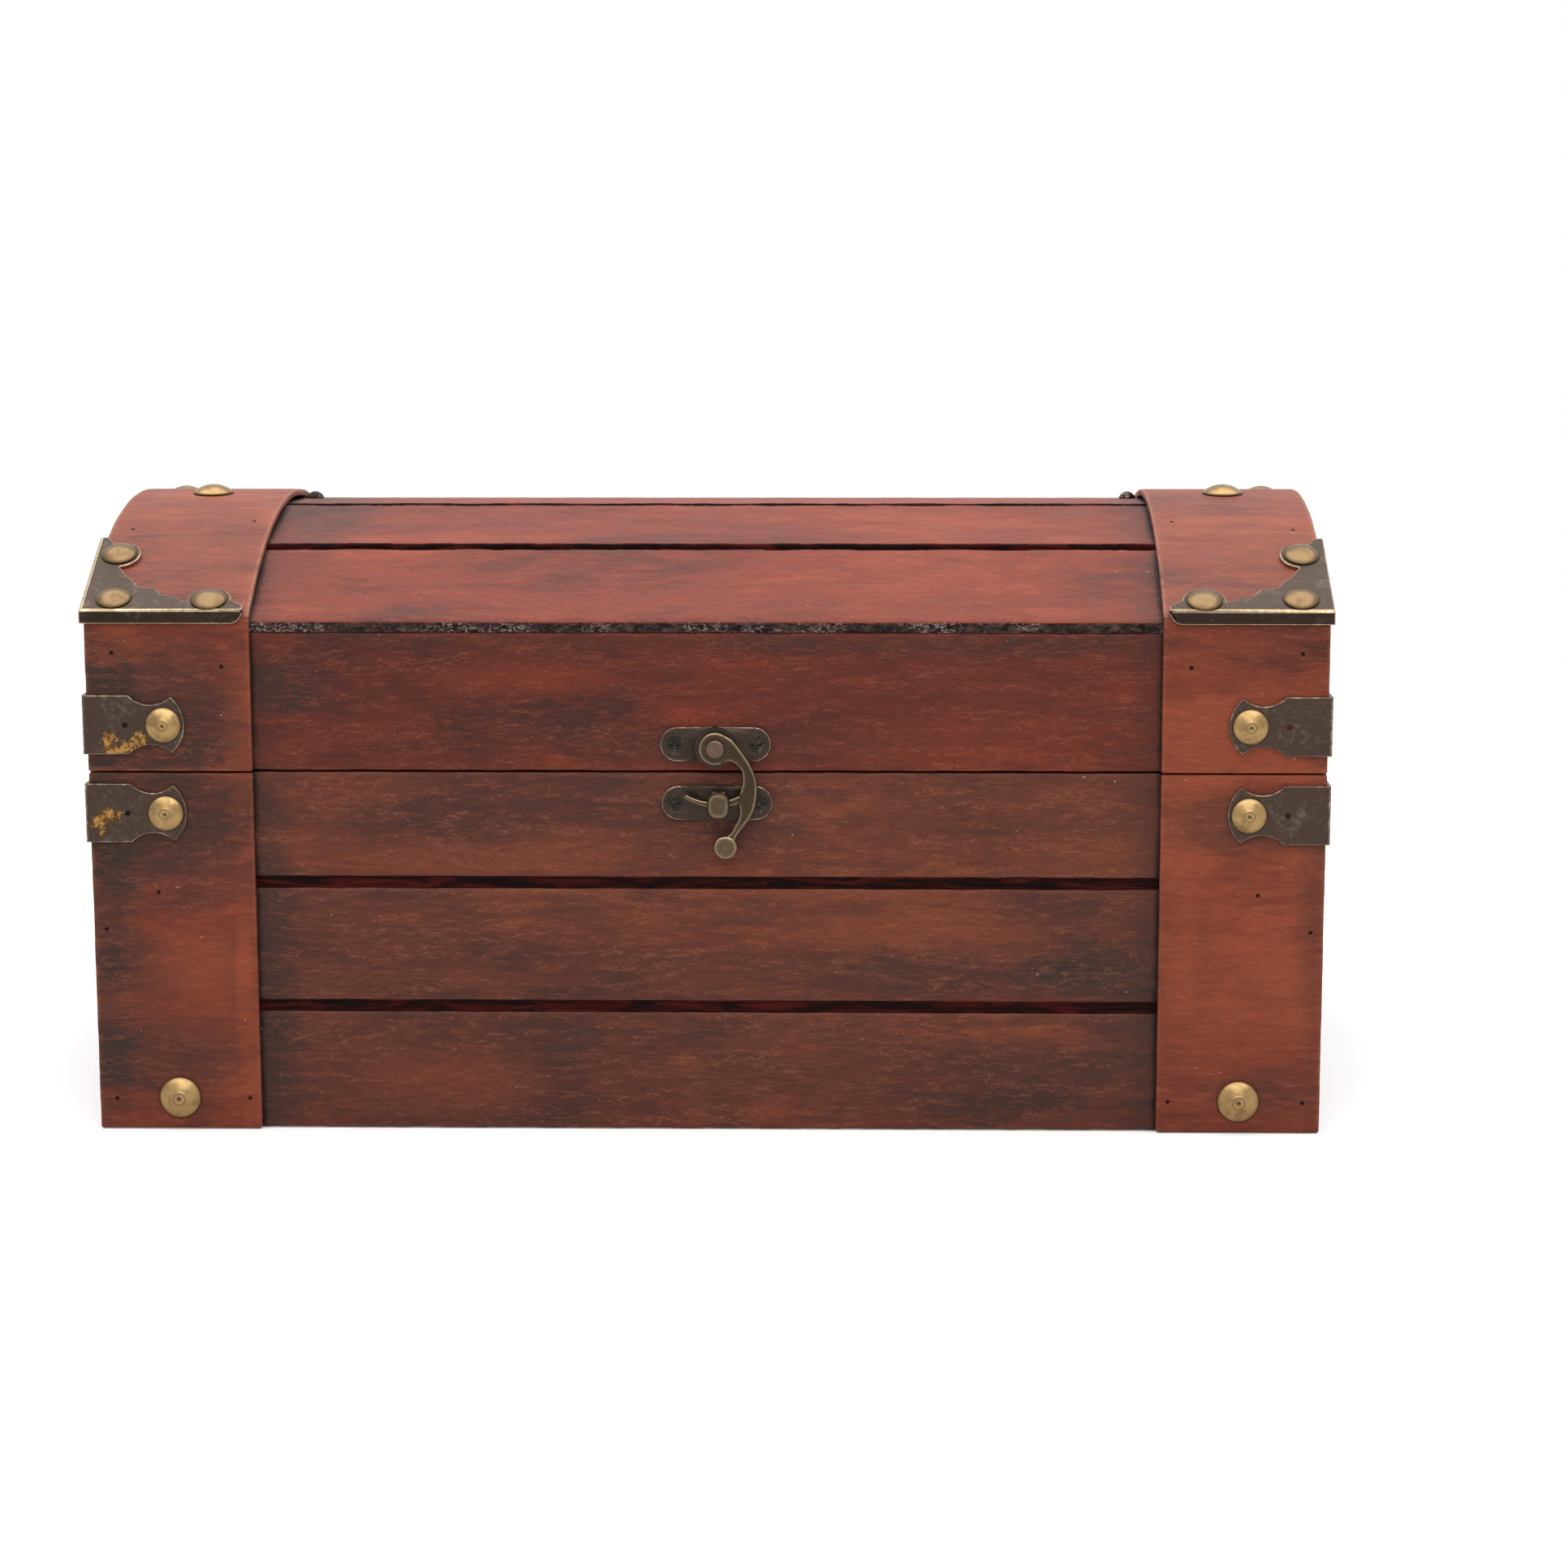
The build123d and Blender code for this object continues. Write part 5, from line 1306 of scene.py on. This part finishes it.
# %% Bar and disc
def bar(first, second, rounding, rim):
    """Closed bar between two lines in millimetres from the rivet: points, faces and wear."""
    insets, depths, wear = round_side(rounding, rim)
    across = second - first
    width = np.linalg.norm(across, axis=1)[:, None]
    held = np.minimum(insets[None], 0.48 * width)[..., None] * (across / width)[:, None]
    flat = np.concatenate([first[:, None] + held, (second[:, None] - held)[:, ::-1]], axis=1)
    depths = np.broadcast_to(np.concatenate([depths, depths[::-1]]), flat.shape[:2])
    points = np.stack([flat[..., 0], depths, flat[..., 1]], axis=-1).reshape(-1, 3)
    around = flat.shape[1]
    wear = np.tile(np.concatenate([wear, wear[::-1]]), len(first))
    return points, loop_quads(len(first), around), end_faces(points, around), wear


def disc(centre, radius, hole, rounding, rim, proud, shine=0.0, thick=arm_thick, tall=1.0, square=2.0,
         around=72):
    """Closed disc with a round edge, its face `proud` of the arm's; with a hole, or closed in the
    middle by one face in front and one behind. Its outline is |x|^n + |z / tall|^n = r^n: a circle for
    n = 2, and squarer for more."""
    insets, depths, wear = round_side(rounding, rim, shine, thick)
    depths = depths - proud * (np.arange(len(depths)) >= len(quarter))
    radii = np.concatenate([[hole or 0.2], radius - insets, [hole or 0.2]])
    depths = np.concatenate([[thick], depths, [-proud]])
    turn = np.linspace(0, 2 * np.pi, around, endpoint=False)
    across = np.sign(np.cos(turn)) * np.abs(np.cos(turn)) ** (2 / square)
    upward = tall * np.sign(np.sin(turn)) * np.abs(np.sin(turn)) ** (2 / square)
    x, z = centre[0] + radii[:, None] * across, centre[1] + radii[:, None] * upward
    points = np.stack([x, np.broadcast_to(depths[:, None], x.shape), z], axis=-1).reshape(-1, 3)
    quads, ends = loop_quads(len(radii), around), end_faces(points, around)
    if hole:
        first, last = np.arange(around), len(points) - around + np.arange(around)
        wall = np.stack([last, np.roll(last, -1), np.roll(first, -1), first], axis=1)
        quads, ends = np.concatenate([quads, wall]), []
    return points, quads, ends, np.repeat(np.concatenate([[0], wear, [shine]]), around)


print("a plain disc has", len(disc((0, 0), 4, 0, 0.4, 0.3, 0)[0]), "points")

# %% Joining cast shapes
def joined(shapes, place):
    """Several closed shapes as one set of points, faces and wear, all faces looking outwards."""
    all_points, all_faces, all_wear, count = [], [], [], 0
    for points, quads, ends, wear in shapes:
        all_faces += [[corner + count for corner in face] for face in facing_out(points, quads, ends)]
        all_points.append(place + 0.001 * points)
        all_wear.append(wear)
        count += len(points)
    return np.concatenate(all_points), all_faces, np.concatenate(all_wear)


def dulled(shape, sunk, dull):
    """A shape a hair thinner on both faces, so that no two faces coincide, without wear where `dull`
    holds for x and z: there it runs into its neighbour."""
    points, quads, ends, wear = shape
    points = points * (1, 1 - 2 * sunk / arm_thick, 1) + (0, sunk, 0)
    return points, quads, ends, np.where(dull(points[:, 0], points[:, 2]), 0, wear)


def cast_piece(name, shapes, face, body):
    """A piece in the arm's bronze: cast shapes in millimetres from the rivet, their face at a depth y."""
    points, faces, wear = joined(shapes, np.array([pivot_x, face, pivot_z]))
    return mesh_piece(name, points, faces, [arm_bronze], body, {"wear": wear}, sharp=40)


print("cast pieces are made in", arm_bronze.name)

# %% Latch arm
claw_radius = 13.70
claw_angles = np.radians(np.linspace(34, -32.5, 40))
claw_half = 0.5 * np.interp(claw_angles, np.radians([-32.5, 28]), [0.9, 1.8])[:, None]
claw_way = np.stack([np.sin(claw_angles), -np.cos(claw_angles)], axis=1)
shapes = [
    dulled(disc((0, 0), 4.0, 1.25, 0.45, 0.35, 0), 0, lambda x, z: np.abs(np.arctan2(z, x) + 0.07) < 1.1),
    dulled(
        bar(through(bar_outer, 90), through(bar_inner, 90), 0.45, 0.35), 0.02,
        lambda x, z: (np.hypot(x, z) < 3.7) | ((np.abs(np.hypot(x, z) - claw_radius) < 1.1) & (x < 7.2)),
    ),
    dulled(
        bar(claw_way * (claw_radius + claw_half), claw_way * (claw_radius - claw_half), 0.35, 0.1), 0.04,
        lambda x, z: x > 5.8,
    ),
    disc(knob_place, 2.9, 0, 0.75, 0.45, 1000 * knob_proud, shine=0.20),
]
arm = cast_piece("latch_arm_cast", shapes, arm_face, "latch")
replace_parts(arm, "latch_arm")
print("latch arm has", len(arm.data.vertices), "points")

# %% [markdown]
# The keeper ends in a hood that the claw slides behind. It is cast too, so it gets the same soft edge:
# a closed pill, a hair larger than the packed hood, that sits over its front like a thimble.

# %% Keeper's hood
hood_place = (0.75, 1000 * (keeper_z - pivot_z))
hood_proud = 0.00006
hood = disc(hood_place, 2.73, 0, 0.8, 0.5, 0, shine=0.16, thick=1.35, tall=1.215, square=2.9)
cast_piece("keeper_hood", [hood], keeper_low.y - hood_proud, "chest")
print("hood stands", round(1000 * (-plank_face - keeper_low.y), 1), "mm off the plank")

# %% [markdown]
# Screws and hinge pins are small and their packed shapes already have what shows: crossed slots,
# heads and shanks. They only need their metal.

# %% Screws and pins
screw_names = ("latch_plate_screws", "keeper_screws", "hinge_body_screws", "hinge_lid_screws")
pin_names = ("hinge_left_pin", "hinge_right_pin")
small_metal = dict.fromkeys(screw_names, screw_steel) | dict.fromkeys(pin_names, hinge_bronze)
for name, metal in small_metal.items():
    nodes[name].data.materials.clear()
    nodes[name].data.materials.append(metal)
print("packed pieces with a metal of their own:", len(small_metal))

# %% [markdown]
# ## Floor, background and light
#
# A product portrait on white needs a white page and a soft shadow that ties the box to it. Blowing out
# the floor with light would also bleach the wood. So the lamps stay at a plain level, and the floor
# and the background add their white only for the camera's own rays and for reflections.

# %% Floor that keeps the shadow near the chest and fades into the page further away
mix = Recipe(bpy.data.materials.new("pale_floor"))
away = mix.add("VectorMath", {0: mix.place()}, operation="LENGTH")["Value"]
seen = mix.add("LightPath", {})["Is Camera Ray"]
matt = mix.add("BsdfDiffuse", {"Color": (0.82, 0.82, 0.82)})[0]
glow = mix.add("Emission", {"Color": (1, 1, 1), "Strength": 0.22})[0]
lit = mix.add("AddShader", {0: matt, 1: glow})[0]
near = mix.add("MixShader", {0: seen, 1: matt, 2: lit})[0]
white = mix.add("Emission", {"Color": (1, 1, 1), "Strength": 1.0})[0]
share = mix.times(mix.spread(away, 0.20, 0.75), seen)
mix.add("OutputMaterial", {"Surface": mix.add("MixShader", {0: share, 1: near, 2: white})[0]})

floor_reach, floor_drop = 3.0, 0.0002
floor_mesh = bpy.data.meshes.new("floor")
floor_corners = np.array([(-1, -1), (1, -1), (1, 1), (-1, 1)]) * floor_reach
floor_mesh.from_pydata([(x, y, -floor_drop) for x, y in floor_corners.tolist()], [], [(0, 1, 2, 3)])
floor_mesh.materials.append(mix.owner)
floor = bpy.data.objects.new("floor", floor_mesh)
bpy.context.scene.collection.objects.link(floor)
print("floor laid")

# %% Background and lamps
world = bpy.data.worlds.new("white_page")
bpy.context.scene.world = world
sky = Recipe(world)
rays = sky.add("LightPath", {})
shown = sky.most(sky.most(rays["Is Camera Ray"], rays["Is Glossy Ray"]), rays["Is Transmission Ray"])
page = sky.add("Background", {"Color": (1, 1, 1), "Strength": sky.spread(shown, 0, 1, 0.44, 1)})
sky.add("OutputWorld", {"Surface": page[0]})


def soft_lamp(name, place, target, width, height, power):
    """Area lamp that looks from a place at a target."""
    lamp_data = bpy.data.lights.new(name, "AREA")
    lamp_data.shape = "RECTANGLE"
    lamp_data.size = width
    lamp_data.size_y = height
    lamp_data.energy = power
    lamp = bpy.data.objects.new(name, lamp_data)
    look = Vector(target) - Vector(place)
    lamp.matrix_world = Matrix.Translation(place) @ look.to_track_quat("-Z", "Y").to_matrix().to_4x4()
    bpy.context.scene.collection.objects.link(lamp)


soft_lamp("top_softbox", (0.0, -0.10, 1.15), (0, 0, 0.1), 2.2, 1.6, 24)
soft_lamp("front_softbox", (0.15, -1.4, 1.15), (0, 0, 0.08), 1.4, 0.9, 7)
bpy.context.scene.view_settings.view_transform = "Standard"
print("two softboxes")
